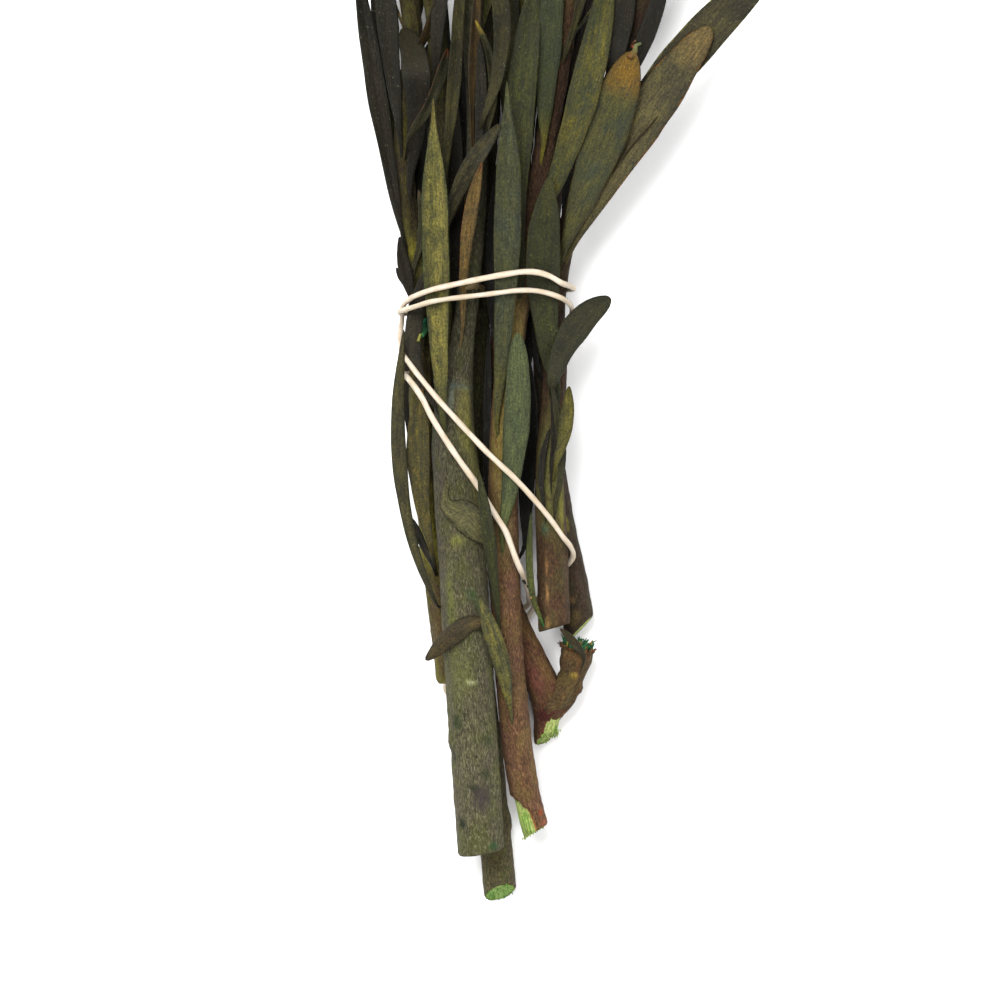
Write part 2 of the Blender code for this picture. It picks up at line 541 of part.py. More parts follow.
def try_free_leaf(placed, node, root, way, out, length, width, spread, parts):
    """One leaf that stands free of its shoot, if it is clear of the other nodes there."""
    points = []
    for i in range(SHOOT_LEAF_STEPS):
        t = i / (SHOOT_LEAF_STEPS - 1)
        outward = length * spread * (1.35 * t - 0.55 * t * t)
        points.append(root + way * length * t * 0.96 + out * outward)
    normals = [out] * SHOOT_LEAF_STEPS
    wide = blade_solid(points, normals, width + 2.0 * GAP, BLADE_THICKNESS + 2.0 * GAP)
    if min(v.z for v in wide[0]) < FLOOR_CLEARANCE or hits_other(placed, node, *wide):
        return False
    solid = blade_solid(points, normals, width, BLADE_THICKNESS)
    parts[node].append(solid)
    placed.append(Placed(node, *solid))
    return True


def shoot_leaves(placed, node, line, parts, chance):
    """Leaves up one shoot by the golden angle, each where it is clear of the other nodes."""
    rows = [row for row in line if row[1] > LEAF_LOWEST_Y]
    turn = chance.uniform(0.0, 2.0 * math.pi)
    for number in range(SHOOT_LEAVES):
        share = (number + 0.5) / SHOOT_LEAVES
        index = min(len(rows) - 2, int(share * (len(rows) - 1)))
        length = LEAF_LENGTH * chance.uniform(0.78, 1.0) * (1.0 - 0.15 * share)
        width = LEAF_WIDTH * chance.uniform(0.8, 1.0)
        turn += GOLDEN_ANGLE
        root = Vector(rows[index][:3])
        way = (Vector(rows[index + 1][:3]) - root).normalized()
        side = way.cross(UP).normalized()
        top = side.cross(way)
        choices = [(nudge, spread) for nudge in LEAF_NUDGES for spread in LEAF_SPREADS]
        for nudge, spread in choices:
            out = math.cos(turn + nudge) * side + math.sin(turn + nudge) * top
            if try_free_leaf(placed, node, root, way, out, length, width, spread, parts):
                break


def back_leaves(placed, node, line, parts, chance):
    """A few leaves on the hidden side of a shoot, close along it, where there is room."""
    for y in BACK_LEAF_PLACES:
        index = nearest_row(line, line[nearest_row(line, 0.0, y)][0], y)
        root = Vector(line[index][:3])
        way = (Vector(line[index + 1][:3]) - root).normalized()
        side = way.cross(UP).normalized()
        length = LEAF_LENGTH * chance.uniform(0.6, 0.8)
        for lean in BACK_LEAF_LEANS:
            out = (side * lean - UP).normalized()
            width = LEAF_WIDTH * BACK_LEAF_WIDTH_SHARE
            if try_free_leaf(placed, node, root, way, out, length, width, BACK_LEAF_SPREAD, parts):
                break


def bract_profile(t):
    """A bract's width at a share of its length."""
    return (0.3 + 0.7 * math.sin(math.pi * 0.72 * t) ** 1.5) * (1.0 - 0.72 * t ** 5)


def bract_solid(foot, way, out, length, belly, width):
    """One bract that rises from the foot of a head, bows outward and turns in at its tip."""
    points = []
    for i in range(BRACT_STEPS):
        t = i / (BRACT_STEPS - 1)
        rise = math.sin(math.pi / 2.0 * min(1.0, 1.6 * t))
        turn_in = BRACT_TURN_IN * belly * max(0.0, t - 0.7) / 0.3
        outward = BRACT_ROOT + (belly - BRACT_ROOT) * rise - turn_in
        points.append(foot + way * (BRACT_ROOT + length * t) + out * outward)
    return blade_solid(points, [out] * BRACT_STEPS, width, BRACT_THICKNESS, bract_profile, BRACT_FOLD)


def cone_solid(foot, way, side, top):
    """The small cone in the middle of a head, on its short foot."""
    rows = [(0.0, 1.8), (1.5, CONE_RADIUS * 0.7), (5.0, CONE_RADIUS), (10.0, CONE_RADIUS),
            (17.0, CONE_RADIUS * 0.75), (CONE_HEIGHT, 1.6)]
    verts = []
    for along, radius in rows:
        for k in range(CONE_SIDES):
            angle = 2.0 * math.pi * k / CONE_SIDES
            verts.append(foot + way * along + radius * (math.cos(angle) * side + math.sin(angle) * top))
    return verts, ring_faces(len(rows), CONE_SIDES)


def head_solids(end, way, bracts):
    """A flower head along a given way: whorls of bracts round a small cone."""
    side = way.cross(UP).normalized()
    top = side.cross(way)
    foot = end + way * HEAD_CLEARANCE
    solids = [cone_solid(foot, way, side, top)]
    for angle, length, belly, width in bracts:
        out = math.cos(angle) * side + math.sin(angle) * top
        solids.append(bract_solid(foot, way, out, length, belly, width))
    return solids


def head_parts(line, chance):
    """The flower head at the end of a shoot, leaning so that its lowest bract just rests on the floor."""
    end = Vector(line[-1][:3])
    level = end - Vector(line[-3][:3])
    level.z = 0.0
    level.normalize()
    bracts = []
    for count, length, belly, width, start in BRACT_WHORLS:
        for k in range(count):
            bracts.append((start + 2.0 * math.pi * k / count + chance.uniform(-0.06, 0.06),
                           HEAD_LENGTH * length * chance.uniform(0.9, 1.0),
                           HEAD_RADIUS * belly * chance.uniform(0.92, 1.02),
                           width * chance.uniform(0.92, 1.05)))
    low, high = -0.3, 0.3
    for _ in range(30):
        lean = (low + high) / 2.0
        solids = head_solids(end, (level + UP * lean).normalized(), bracts)
        if min(v.z for solid in solids for v in solid[0]) < 0.0:
            low = lean
        else:
            high = lean
    return head_solids(end, (level + UP * high).normalized(), bracts)


def outermost_at(placed, angle, y):
    """How far the bunch reaches from its core at an angle, in the slice at y."""
    out = Vector((math.cos(angle), 0.0, math.sin(angle)))
    aside = Vector((-out.z, 0.0, out.x))
    reach = 0.0
    for slide in BAND_PROBES:
        for along in BAND_PROBES:
            core = Vector((CORE[0], y + along, CORE[1])) + aside * slide
            start = core + out * FAR_OUT
            for item in placed:
                hit, _, _, distance = item.tree.ray_cast(start, -out, FAR_OUT)
                if hit is not None:
                    reach = max(reach, FAR_OUT - distance)
    return reach


def highest_near(placed, x, y):
    """The height of the uppermost surface under the band's width at a point."""
    ground = 0.0
    for dx in BAND_PROBES:
        for dy in BAND_PROBES:
            ground = max(ground, highest_at(placed, x + dx, y + dy))
    return ground


def route_point(placed, row):
    """One row of the band's route as a point."""
    stand = BAND_RADIUS + GAP
    if row[0] == "top":
        return Vector((row[1], row[2], highest_near(placed, row[1], row[2]) + stand))
    if row[0] == "held":
        return Vector(row[1:])
    angle = math.radians(row[1])
    reach = outermost_at(placed, angle, row[2]) + stand + row[3]
    return Vector((CORE[0] + reach * math.cos(angle), row[2], CORE[1] + reach * math.sin(angle)))


def push_out(placed, point, reach):
    """A point moved out of, and clear of, every laid solid."""
    margin = Vector((reach, reach, reach))
    for item in placed:
        if not item.near(point - margin, point + margin):
            continue
        spot, normal, _, distance = item.tree.find_nearest(point)
        if (point - spot).dot(normal) < 0.0:
            point = spot + normal * reach
        elif distance < reach:
            point = spot + (point - spot).normalized() * reach
    return point


def cleared(placed, point, kind, extra):
    """A point of the band moved outward until it is clear of the bunch."""
    stand = BAND_RADIUS + GAP
    if kind == "top":
        point.z = max(point.z, highest_near(placed, point.x, point.y) + stand)
    elif kind == "round":
        out = Vector((point.x - CORE[0], 0.0, point.z - CORE[1]))
        need = outermost_at(placed, math.atan2(out.z, out.x), point.y) + stand + extra
        if out.length < need:
            out = out.normalized() * need
            point = Vector((CORE[0] + out.x, point.y, CORE[1] + out.z))
    else:
        point = push_out(placed, point, stand + 0.1)
    point.z = max(point.z, BAND_RADIUS + FLOOR_CLEARANCE)
    return point


def band_line(placed):
    """The band's centre line, taut over the front, round the sides and under the back."""
    rows = [(*route_point(placed, row), number) for number, row in enumerate(BAND_ROUTE)]
    fine = smooth_rows([row[:3] + (0.0,) for row in rows], BAND_STEP / 2.0, closed=True)
    kinds = []
    count = len(rows)
    for i in range(count):
        nearby = [rows[(i + k) % count] for k in (0, 1)]
        length = math.dist(nearby[0][:3], nearby[1][:3])
        pieces = max(1, round(length / (BAND_STEP / 2.0)))
        for k in range(pieces):
            row = BAND_ROUTE[i] if k < pieces / 2 else BAND_ROUTE[(i + 1) % count]
            kinds.append((row[0], row[3] if row[0] == "round" else 0.0))
    points = [cleared(placed, Vector(row[:3]), *kind) for row, kind in zip(fine, kinds)]
    total = len(points)
    for _ in range(BAND_ROUNDS):
        for i in range(total):
            bridge = (points[i - 1] + points[(i + 1) % total]) / 2.0
            if kinds[i][0] == "top":
                points[i].z = max(points[i].z, bridge.z)
            elif kinds[i][0] == "round":
                out = Vector((points[i].x - CORE[0], 0.0, points[i].z - CORE[1]))
                far = Vector((bridge.x - CORE[0], 0.0, bridge.z - CORE[1])).length
                if far > out.length:
                    out = out.normalized() * far
                    points[i].x = CORE[0] + out.x
                    points[i].z = max(CORE[1] + out.z, BAND_RADIUS + FLOOR_CLEARANCE)
            else:
                points[i] = push_out(placed, points[i].lerp(bridge, 0.1), BAND_RADIUS + GAP + 0.15)
                points[i].z = max(points[i].z, BAND_RADIUS + FLOOR_CLEARANCE)
    return clear_band(placed, points[::2], kinds[::2])


def clear_band(placed, points, kinds):
    """The band's points, moved outward in small steps until its tube is clear all along."""
    total = len(points)
    for _ in range(BAND_TRIES):
        verts, faces = band_solid(points, BAND_RADIUS + 0.2)
        tree = BVHTree.FromPolygons(verts, faces)
        hits = set()
        for item in placed:
            for mine, _ in tree.overlap(item.tree):
                ring = mine // (2 * BAND_SIDES)
                hits.update((ring, (ring + 1) % total))
        for i in sorted(hits):
            if kinds[i][0] == "top":
                points[i].z += BAND_NUDGE
            elif kinds[i][0] == "round":
                out = Vector((points[i].x - CORE[0], 0.0, points[i].z - CORE[1])).normalized()
                points[i] += out * BAND_NUDGE
                points[i].z = max(points[i].z, BAND_RADIUS + FLOOR_CLEARANCE)
            else:
                points[i] = push_out(placed, points[i], BAND_RADIUS + GAP + 0.4)
    return points


def band_solid(points, radius):
    """A closed tube along the band's line, its rings carried round without twist."""
    ways = tangents(points, closed=True)
    count = len(points)
    frames = []
    normal = ways[0].orthogonal().normalized()
    for way in ways:
        normal = (normal - way * normal.dot(way)).normalized()
        frames.append(normal.copy())
    home = (frames[-1] - ways[0] * frames[-1].dot(ways[0])).normalized()
    twist = math.atan2(home.cross(frames[0]).dot(ways[0]), home.dot(frames[0]))
    verts = []
    for i, (point, way, normal) in enumerate(zip(points, ways, frames)):
        turned = Matrix.Rotation(twist * i / count, 3, way) @ normal
        other = way.cross(turned)
        for k in range(BAND_SIDES):
            angle = 2.0 * math.pi * k / BAND_SIDES
            verts.append(point + radius * (math.cos(angle) * turned + math.sin(angle) * other))
    return verts, ring_faces(count, BAND_SIDES, closed=True)


def make_material(name, colour, roughness):
    """A plain Principled BSDF material."""
    material = bpy.data.materials.new(name)
    material.use_nodes = True
    shader = material.node_tree.nodes["Principled BSDF"]
    shader.inputs["Base Color"].default_value = (*colour, 1.0)
    shader.inputs["Roughness"].default_value = roughness
    return material


def make_object(name, verts, faces, material=None):
    """A mesh object in metres from points in millimetres, with its faces pointing out."""
    mesh = bpy.data.meshes.new(name)
    shift = Vector((CENTRE_X, CENTRE_Y, 0.0))
    mesh.from_pydata([(Vector(v) - shift) * MM for v in verts], [], faces)
    work = bmesh.new()
    work.from_mesh(mesh)
    bmesh.ops.recalc_face_normals(work, faces=work.faces)
    work.to_mesh(mesh)
    work.free()
    item = bpy.data.objects.new(name, mesh)
    if material is not None:
        mesh.materials.append(material)
    bpy.context.scene.collection.objects.link(item)
    return item


def keep_outer_body(mesh):
    """Keep the largest connected body: this fills sealed hollows and drops loose scraps."""
    work = bmesh.new()
    work.from_mesh(mesh)
    left = set(work.faces)
    bodies = []
    while left:
        queue = [left.pop()]
        body = set(queue)
        while queue:
            for edge in queue.pop().edges:
                for face in edge.link_faces:
                    if face not in body:
                        body.add(face)
                        queue.append(face)
        left -= body
        bodies.append(body)
    largest = max(bodies, key=lambda body: sum(face.calc_area() for face in body))
    for body in bodies:
        if body is not largest:
            bmesh.ops.delete(work, geom=list(body), context="FACES")
    work.to_mesh(mesh)
    work.free()


def fuse(name, solids, material):
    """One node from overlapping solids, by a Boolean union on a collection."""
    body = make_object(name, *solids[0], material)
    group = bpy.data.collections.new(name + "_repeats")
    for number, solid in enumerate(solids[1:]):
        piece = make_object(name + "_repeat_" + str(number), *solid)
        bpy.context.scene.collection.objects.unlink(piece)
        group.objects.link(piece)
    union = body.modifiers.new("fuse repeats", "BOOLEAN")
    union.operation = "UNION"
    union.operand_type = "COLLECTION"
    union.collection = group
    union.solver = "MANIFOLD"
    bpy.context.view_layer.update()
    graph = bpy.context.evaluated_depsgraph_get()
    fused = bpy.data.meshes.new_from_object(body.evaluated_get(graph))
    body.modifiers.clear()
    body.data = fused
    fused.name = name
    keep_outer_body(fused)
    for piece in list(group.objects):
        bpy.data.objects.remove(piece, do_unlink=True)
    bpy.data.collections.remove(group)
    fused.shade_smooth()
    fused.set_sharp_from_angle(angle=SHARP_ANGLE)
    return body


def build():
    """Lay the shoots, leaves, band and heads, then make one solid for each node."""
    chance = random.Random(SEED)
    placed = []
    parts = {}
    shoots = {}
    laid = []
    for name, node, stations, sides, head in SHOOTS:
        others = [line for other_node, line in laid if other_node != node]
        line = lay_line(stations, others)
        laid.append((node, line))
        shoots[name] = (node, line)
        solid = stem_solid(line, sides, CUTS[name])
        parts.setdefault(node, []).append(solid)
        placed.append(Placed(node, *solid))
    for name, node, stations, sides, head in SHOOTS:
        if head is None:
            continue
        parts[head] = head_parts(shoots[name][1], chance)
        for solid in parts[head]:
            placed.append(Placed(head, *solid))
    for row in DEEP_LEAVES:
        place_deep_leaf(placed, shoots, row, parts)
    for row in LEAVES_UNDER_BAND:
        place_leaf(placed, shoots, row, parts)
    points = band_line(placed)
    band = band_solid(points, BAND_RADIUS)
    placed.append(Placed("elastic_band", *band))
    for row in LEAVES_OVER_BAND:
        place_leaf(placed, shoots, row, parts)
    for name, node, stations, sides, head in SHOOTS:
        if head is not None:
            shoot_leaves(placed, node, shoots[name][1], parts, chance)
        if name in BACK_LEAF_SHOOTS:
            back_leaves(placed, node, shoots[name][1], parts, chance)
    for node, solids in parts.items():
        colour = COLOURS["head"] if node.startswith("head") else COLOURS[node]
        fuse(node, solids, make_material(node, colour, 0.7))
    item = make_object("elastic_band", *band, make_material("elastic_band", COLOURS["elastic_band"], 0.6))
    item.data.shade_smooth()


clear_scene()
build()
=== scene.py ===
"""The looks of a lying, tied bunch of leucadendron stems.

The first half lays the shoots, leaves, band and heads by the same tables and rules as the part,
so that every fine piece follows the line of the solid that it stands for.
The second half makes the bark, cut ends, leaves, bracts, cones, band and small torn bits,
and their materials.
Lengths are millimetres in the drawing's own coordinates, and meshes are made in metres.
"""

import json
import math
import random

import bmesh
import bpy
from mathutils import Matrix, Vector, noise
from mathutils.bvhtree import BVHTree

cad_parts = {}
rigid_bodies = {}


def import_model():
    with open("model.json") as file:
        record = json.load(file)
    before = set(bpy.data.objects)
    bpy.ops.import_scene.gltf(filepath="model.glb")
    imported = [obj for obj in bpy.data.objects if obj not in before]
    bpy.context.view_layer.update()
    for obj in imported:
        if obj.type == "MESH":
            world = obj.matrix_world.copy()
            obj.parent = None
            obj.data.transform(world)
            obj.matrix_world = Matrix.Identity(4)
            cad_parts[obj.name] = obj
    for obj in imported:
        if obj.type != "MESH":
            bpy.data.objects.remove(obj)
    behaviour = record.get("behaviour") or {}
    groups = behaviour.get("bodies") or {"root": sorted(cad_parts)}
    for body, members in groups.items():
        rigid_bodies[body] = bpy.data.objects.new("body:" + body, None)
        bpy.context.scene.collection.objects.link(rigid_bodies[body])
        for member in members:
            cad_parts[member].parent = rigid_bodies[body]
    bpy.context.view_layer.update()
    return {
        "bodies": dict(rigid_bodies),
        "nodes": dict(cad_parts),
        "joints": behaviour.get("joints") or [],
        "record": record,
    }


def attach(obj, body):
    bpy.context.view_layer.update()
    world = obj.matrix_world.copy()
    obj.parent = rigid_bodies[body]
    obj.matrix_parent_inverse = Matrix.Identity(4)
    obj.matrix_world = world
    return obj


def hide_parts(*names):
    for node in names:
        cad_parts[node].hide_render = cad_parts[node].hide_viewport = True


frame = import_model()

# Driving dimensions, in millimetres: MM is one in metres, and GAP is kept between nodes
MM = 0.001
GAP = 0.35
FLOOR_CLEARANCE = 0.15
GOLDEN_ANGLE = math.radians(137.5)
SEED = 24

# Shoots: how close they lie to each other, and how far apart their rings of points are
SHOOT_CLEARANCE = 0.35
SHOOT_ABOVE = 3.0
LINE_STEP = 4.0
RING_STEP = 20.0
FOOT_ROWS = 3

# Leaves laid from the tables
BLADE_THICKNESS = 1.0
BLADE_STEPS = 5
SHORT_LEAF = 32.0
LEAF_FOLD = 0.12
STALK_SHARE = 0.26
TIP_SHARE = 0.18
WIDEST_AT = 0.62
LEAF_LEVEL_SHARE = 0.6
LEAF_LIFTS = (0.0, 0.4, 0.9, 1.6, 2.6, 4.0)
LEAF_ROOTS_BACK = (6.0, 2.0, 10.0, 15.0, 22.0, -4.0)
PROBES_ACROSS = (-1.15, -0.6, 0.0, 0.6, 1.15)
PROBES_ALONG = (-4.0, 0.0, 4.0)
PROBE_HEIGHT = 300.0

# Leaves that stand free above the photo's part of each shoot, and a few on the hidden side
LEAF_LENGTH = 68.0
LEAF_WIDTH = 9.5
LEAF_LOWEST_Y = 108.0
LEAF_NUDGES = (0.0, 0.5, -0.5, 1.0, -1.0, 1.6, -1.6, 2.3, -2.3)
LEAF_SPREADS = (0.3, 0.2, 0.42)
SHOOT_LEAVES = 9
SHOOT_LEAF_STEPS = 4
BACK_LEAF_PLACES = (60.0, 82.0, 104.0)
BACK_LEAF_SHOOTS = ("stem_2", "stem_4", "stem_6", "stem_7")
BACK_LEAF_LEANS = (-1.2, 1.2, -0.6, 0.6, -1.9, 1.9)
BACK_LEAF_WIDTH_SHARE = 0.7
BACK_LEAF_SPREAD = 0.1

# Flower heads
HEAD_LENGTH = 62.0
HEAD_RADIUS = 16.0
HEAD_CLEARANCE = 0.45
HEAD_LEAN = 0.3
LEAN_HALVINGS = 30
BRACT_THICKNESS = 1.1
BRACT_STEPS = 4
BRACT_ROOT = 1.5
BRACT_TURN_IN = 0.12
BRACT_TURN_FROM = 0.7
BRACT_FOLD = 0.18
CONE_HEIGHT = 25.0
CONE_RADIUS = 7.5
CONE_SIDES = 7

# The elastic band
BAND_RADIUS = 0.78
BAND_STEP = 4.2
BAND_SIDES = 6
BAND_ROUNDS = 60
BAND_TRIES = 26
BAND_NUDGE = 0.25
BAND_PROBES = (-1.45, 0.0, 1.45)
FAR_OUT = 60.0
BAND_STAND = BAND_RADIUS + GAP
BAND_LOWEST = BAND_RADIUS + FLOOR_CLEARANCE

# The middle of the bunch's footprint in the drawing's own coordinates
CENTRE_X = 8.1
CENTRE_Y = 137.5

UP = Vector((0.0, 0.0, 1.0))

# Whorls of bracts in a head: count, share of the length, share of the radius, width, first angle
BRACT_WHORLS = [(7, 1.0, 1.0, 11.5, 0.1), (5, 0.86, 0.66, 9.5, 0.5)]

# Stations of each stem from its cut end to its head: x, y, height of the centre, radius
STEM_2 = [(0, -103, 4.065, 4.4), (-1, -91, 4.065, 4.4), (-2.4, -79, 4.4, 4.4), (-3.6, -65, 5.8, 4.3),
    (-6.2, -41, 7, 4.2), (-8.1, -10, 7.2, 4.1), (-7.6, 26, 7, 3.8), (-5.7, 52, 6.8, 3.5),
    (-4.7, 78, 7.4, 3.2), (-3, 118, 9, 3), (-10, 160, 11, 2.9), (-26, 212, 14, 2.8), (-35, 262, 17, 2.8)]
STEM_4 = [(12.5, -62.2, 4.4, 3.4), (13, -57, 4.9, 4.2), (11.8, -50, 6, 4.7), (7.6, -40.5, 7, 4.1),
    (3.4, -31, 7.4, 3.8), (0.2, -18, 7.6, 3.6), (-0.2, 5, 8, 3.4), (0, 31, 7.4, 3.2), (1.6, 52, 7.2, 3.1),
    (4.2, 78, 7.6, 3), (7.6, 115, 9.5, 2.9), (11, 165, 11.5, 2.8), (12, 215, 14, 2.8), (12, 260, 17, 2.8)]
STEM_4_STUB = [(11.8, -54.6, 6, 4.4), (15.8, -51.4, 6.6, 4.3), (18.6, -46.4, 7.4, 3.5),
    (19.6, -42.2, 8, 4.4), (20.2, -39, 8.4, 4.3)]
STEM_6 = [(20.9, -34, 4.6, 4.3), (18.8, -21, 5.6, 4.2), (16.4, -10, 6.8, 4), (14.4, 2, 7.2, 3.8),
    (12.6, 16, 7.2, 3.5), (12, 31, 7, 3.2), (11.6, 52, 7, 3.1), (13, 74, 7.4, 3), (16.6, 102, 8.4, 2.9),
    (22, 132, 10.4, 2.9), (35, 175, 12.5, 2.8), (50, 220, 15, 2.8), (58, 262, 17, 2.8)]
STEM_7 = [(-13.3, -47, 5.8, 3.4), (-14, -38, 6.4, 3.7), (-15.8, -24, 7.2, 3.7), (-17.6, -8, 8.2, 3.6),
    (-19, 6, 9.4, 3.6), (-20.4, 24, 10.4, 3.4), (-20.6, 42, 11, 3), (-21.6, 57, 12, 2.8),
    (-24.6, 80, 12.8, 2.7), (-25, 101, 13.4, 2.7), (-22.8, 122, 14.4, 2.7), (-30, 155, 15, 2.7),
    (-58, 207, 16, 2.7), (-86, 252, 17, 2.7)]
STEM_5 = [(14.2, -33.3, 14.6, 4.4), (13.6, -15.6, 15.6, 4.3), (13, 0, 15.8, 4.1), (13, 13, 15.8, 3.7),
    (13.9, 26, 15.6, 3.3), (14.4, 37, 15.2, 3.1), (14, 50, 14.8, 3), (16.1, 65, 14.8, 3),
    (20, 76.7, 15, 2.9), (24.7, 91, 15.4, 2.9), (31, 113, 16.2, 2.8), (39, 133, 17, 2.8),
    (60, 175, 17.5, 2.8), (84, 215, 17.5, 2.8), (104, 254, 17, 2.8)]
STEM_3 = [(9.1, -86.8, 9, 4.1), (6.6, -77, 9.6, 4.1), (4.2, -62.4, 11.4, 4.1), (3, -49.4, 13.4, 4.1),
    (2, -36.4, 15, 4.1), (1.3, -20.8, 16.2, 4.1), (0.8, -2.6, 16.8, 4.1), (1, 15.6, 17, 3.9),
    (1.6, 28.6, 17, 3.5), (3.6, 44.2, 17, 3.2), (5.8, 56, 17.2, 3.1), (8.6, 75, 17.6, 3),
    (12.6, 97, 18.4, 2.9), (17, 122, 20, 2.8), (24, 165, 22, 2.8), (32, 220, 22, 2.8), (36, 310, 18, 2.8)]
STEM_1 = [(-4.9, -91.5, 15, 6.3), (-6.5, -67.6, 16.6, 6.5), (-8.3, -41.6, 17.4, 6.5),
    (-9.8, -15.6, 17.6, 6.4), (-11.2, 5, 17.6, 6.3), (-12, 17, 17.8, 5.9), (-11.4, 28, 18.2, 4.6),
    (-9.8, 42, 18.8, 3.3), (-8.1, 54, 19.2, 3), (-6.4, 78, 19.8, 2.9), (-6, 102, 21, 2.9),
    (-7.4, 128, 23, 2.8), (-10, 170, 25, 2.8), (-13, 220, 23, 2.8), (-14, 308, 18, 2.8)]
STEM_1_LEFT = [(-12.6, 14, 17.8, 4.4), (-14, 32, 17.8, 3.2), (-15, 50, 18, 2.8), (-15.9, 76, 18.6, 2.7),
    (-16.4, 104, 20, 2.7), (-17.4, 130, 22, 2.7), (-29, 172, 22, 2.7), (-52, 240, 19, 2.7),
    (-66, 318, 17, 2.7)]

# How the lower cut of each shoot slants: towards the top of the stem, then towards its right side
CUTS = {"stem_1": (0.05, 0.12), "stem_1_left": (0.0, 0.0), "stem_2": (0.5, 0.22),
        "stem_3": (0.12, 0.3), "stem_4": (0.6, 0.65), "stem_4_stub": (0.0, 0.0),
        "stem_5": (0.1, 0.25), "stem_6": (0.2, 0.75), "stem_7": (0.0, 0.2)}

# Shoots in the order in which they are laid: name, node, stations, sides, head or none
SHOOTS = [("stem_2", "stem_2", STEM_2, 8, "head_1"),
          ("stem_4", "stem_4", STEM_4, 7, "head_2"),
          ("stem_6", "stem_6", STEM_6, 7, "head_3"),
          ("stem_7", "stem_7", STEM_7, 7, "head_4"),
          ("stem_5", "stem_5", STEM_5, 8, "head_5"),
          ("stem_3", "stem_3", STEM_3, 8, "head_6"),
          ("stem_1", "stem_1", STEM_1, 9, "head_7"),
          ("stem_1_left", "stem_1", STEM_1_LEFT, 7, "head_8"),
          ("stem_4_stub", "stem_4", STEM_4_STUB, 7, None)]

# Leaves deep in the bunch, between its lower and upper stems: shoot, width, base, middle, tip and finish
DEEP_LEAVES = [
    ("stem_3", 2.4, (-3.2, -8, 14), (-3.4, 14, 14.2), (-2.8, 44, 13.6), "deep"),
    ("stem_3", 3.6, (-1.4, 42, 13.4), (-2, 62, 13.4), (0.4, 92, 13.8), "deep"),
    ("stem_1", 5.6, (-11.6, 46, 14), (-12.2, 72, 14), (-12, 106, 15), "charcoal"),
    ("stem_3", 5.4, (6.4, -12, 12.6), (7, 10, 12.6), (7.4, 36, 12.4), "deep"),
    ("stem_5", 5.2, (9.6, 36, 11.8), (9.4, 58, 11.8), (10.6, 88, 12.4), "deep"),
    ("stem_4", 5.6, (4, 84, 10.4), (2.6, 108, 11.6), (3.2, 143, 13), "dark_olive"),
    ("stem_3", 4, (11.6, 78, 14.4), (11, 92, 14.4), (15, 116, 15.6), "deep"),
    ("stem_5", 5.2, (17.4, 60, 12.4), (18.6, 80, 12.4), (22, 106, 13), "deep"),
    ("stem_7", 5.4, (-27, 92, 10), (-29.6, 114, 10), (-33, 143, 11), "charcoal"),
]

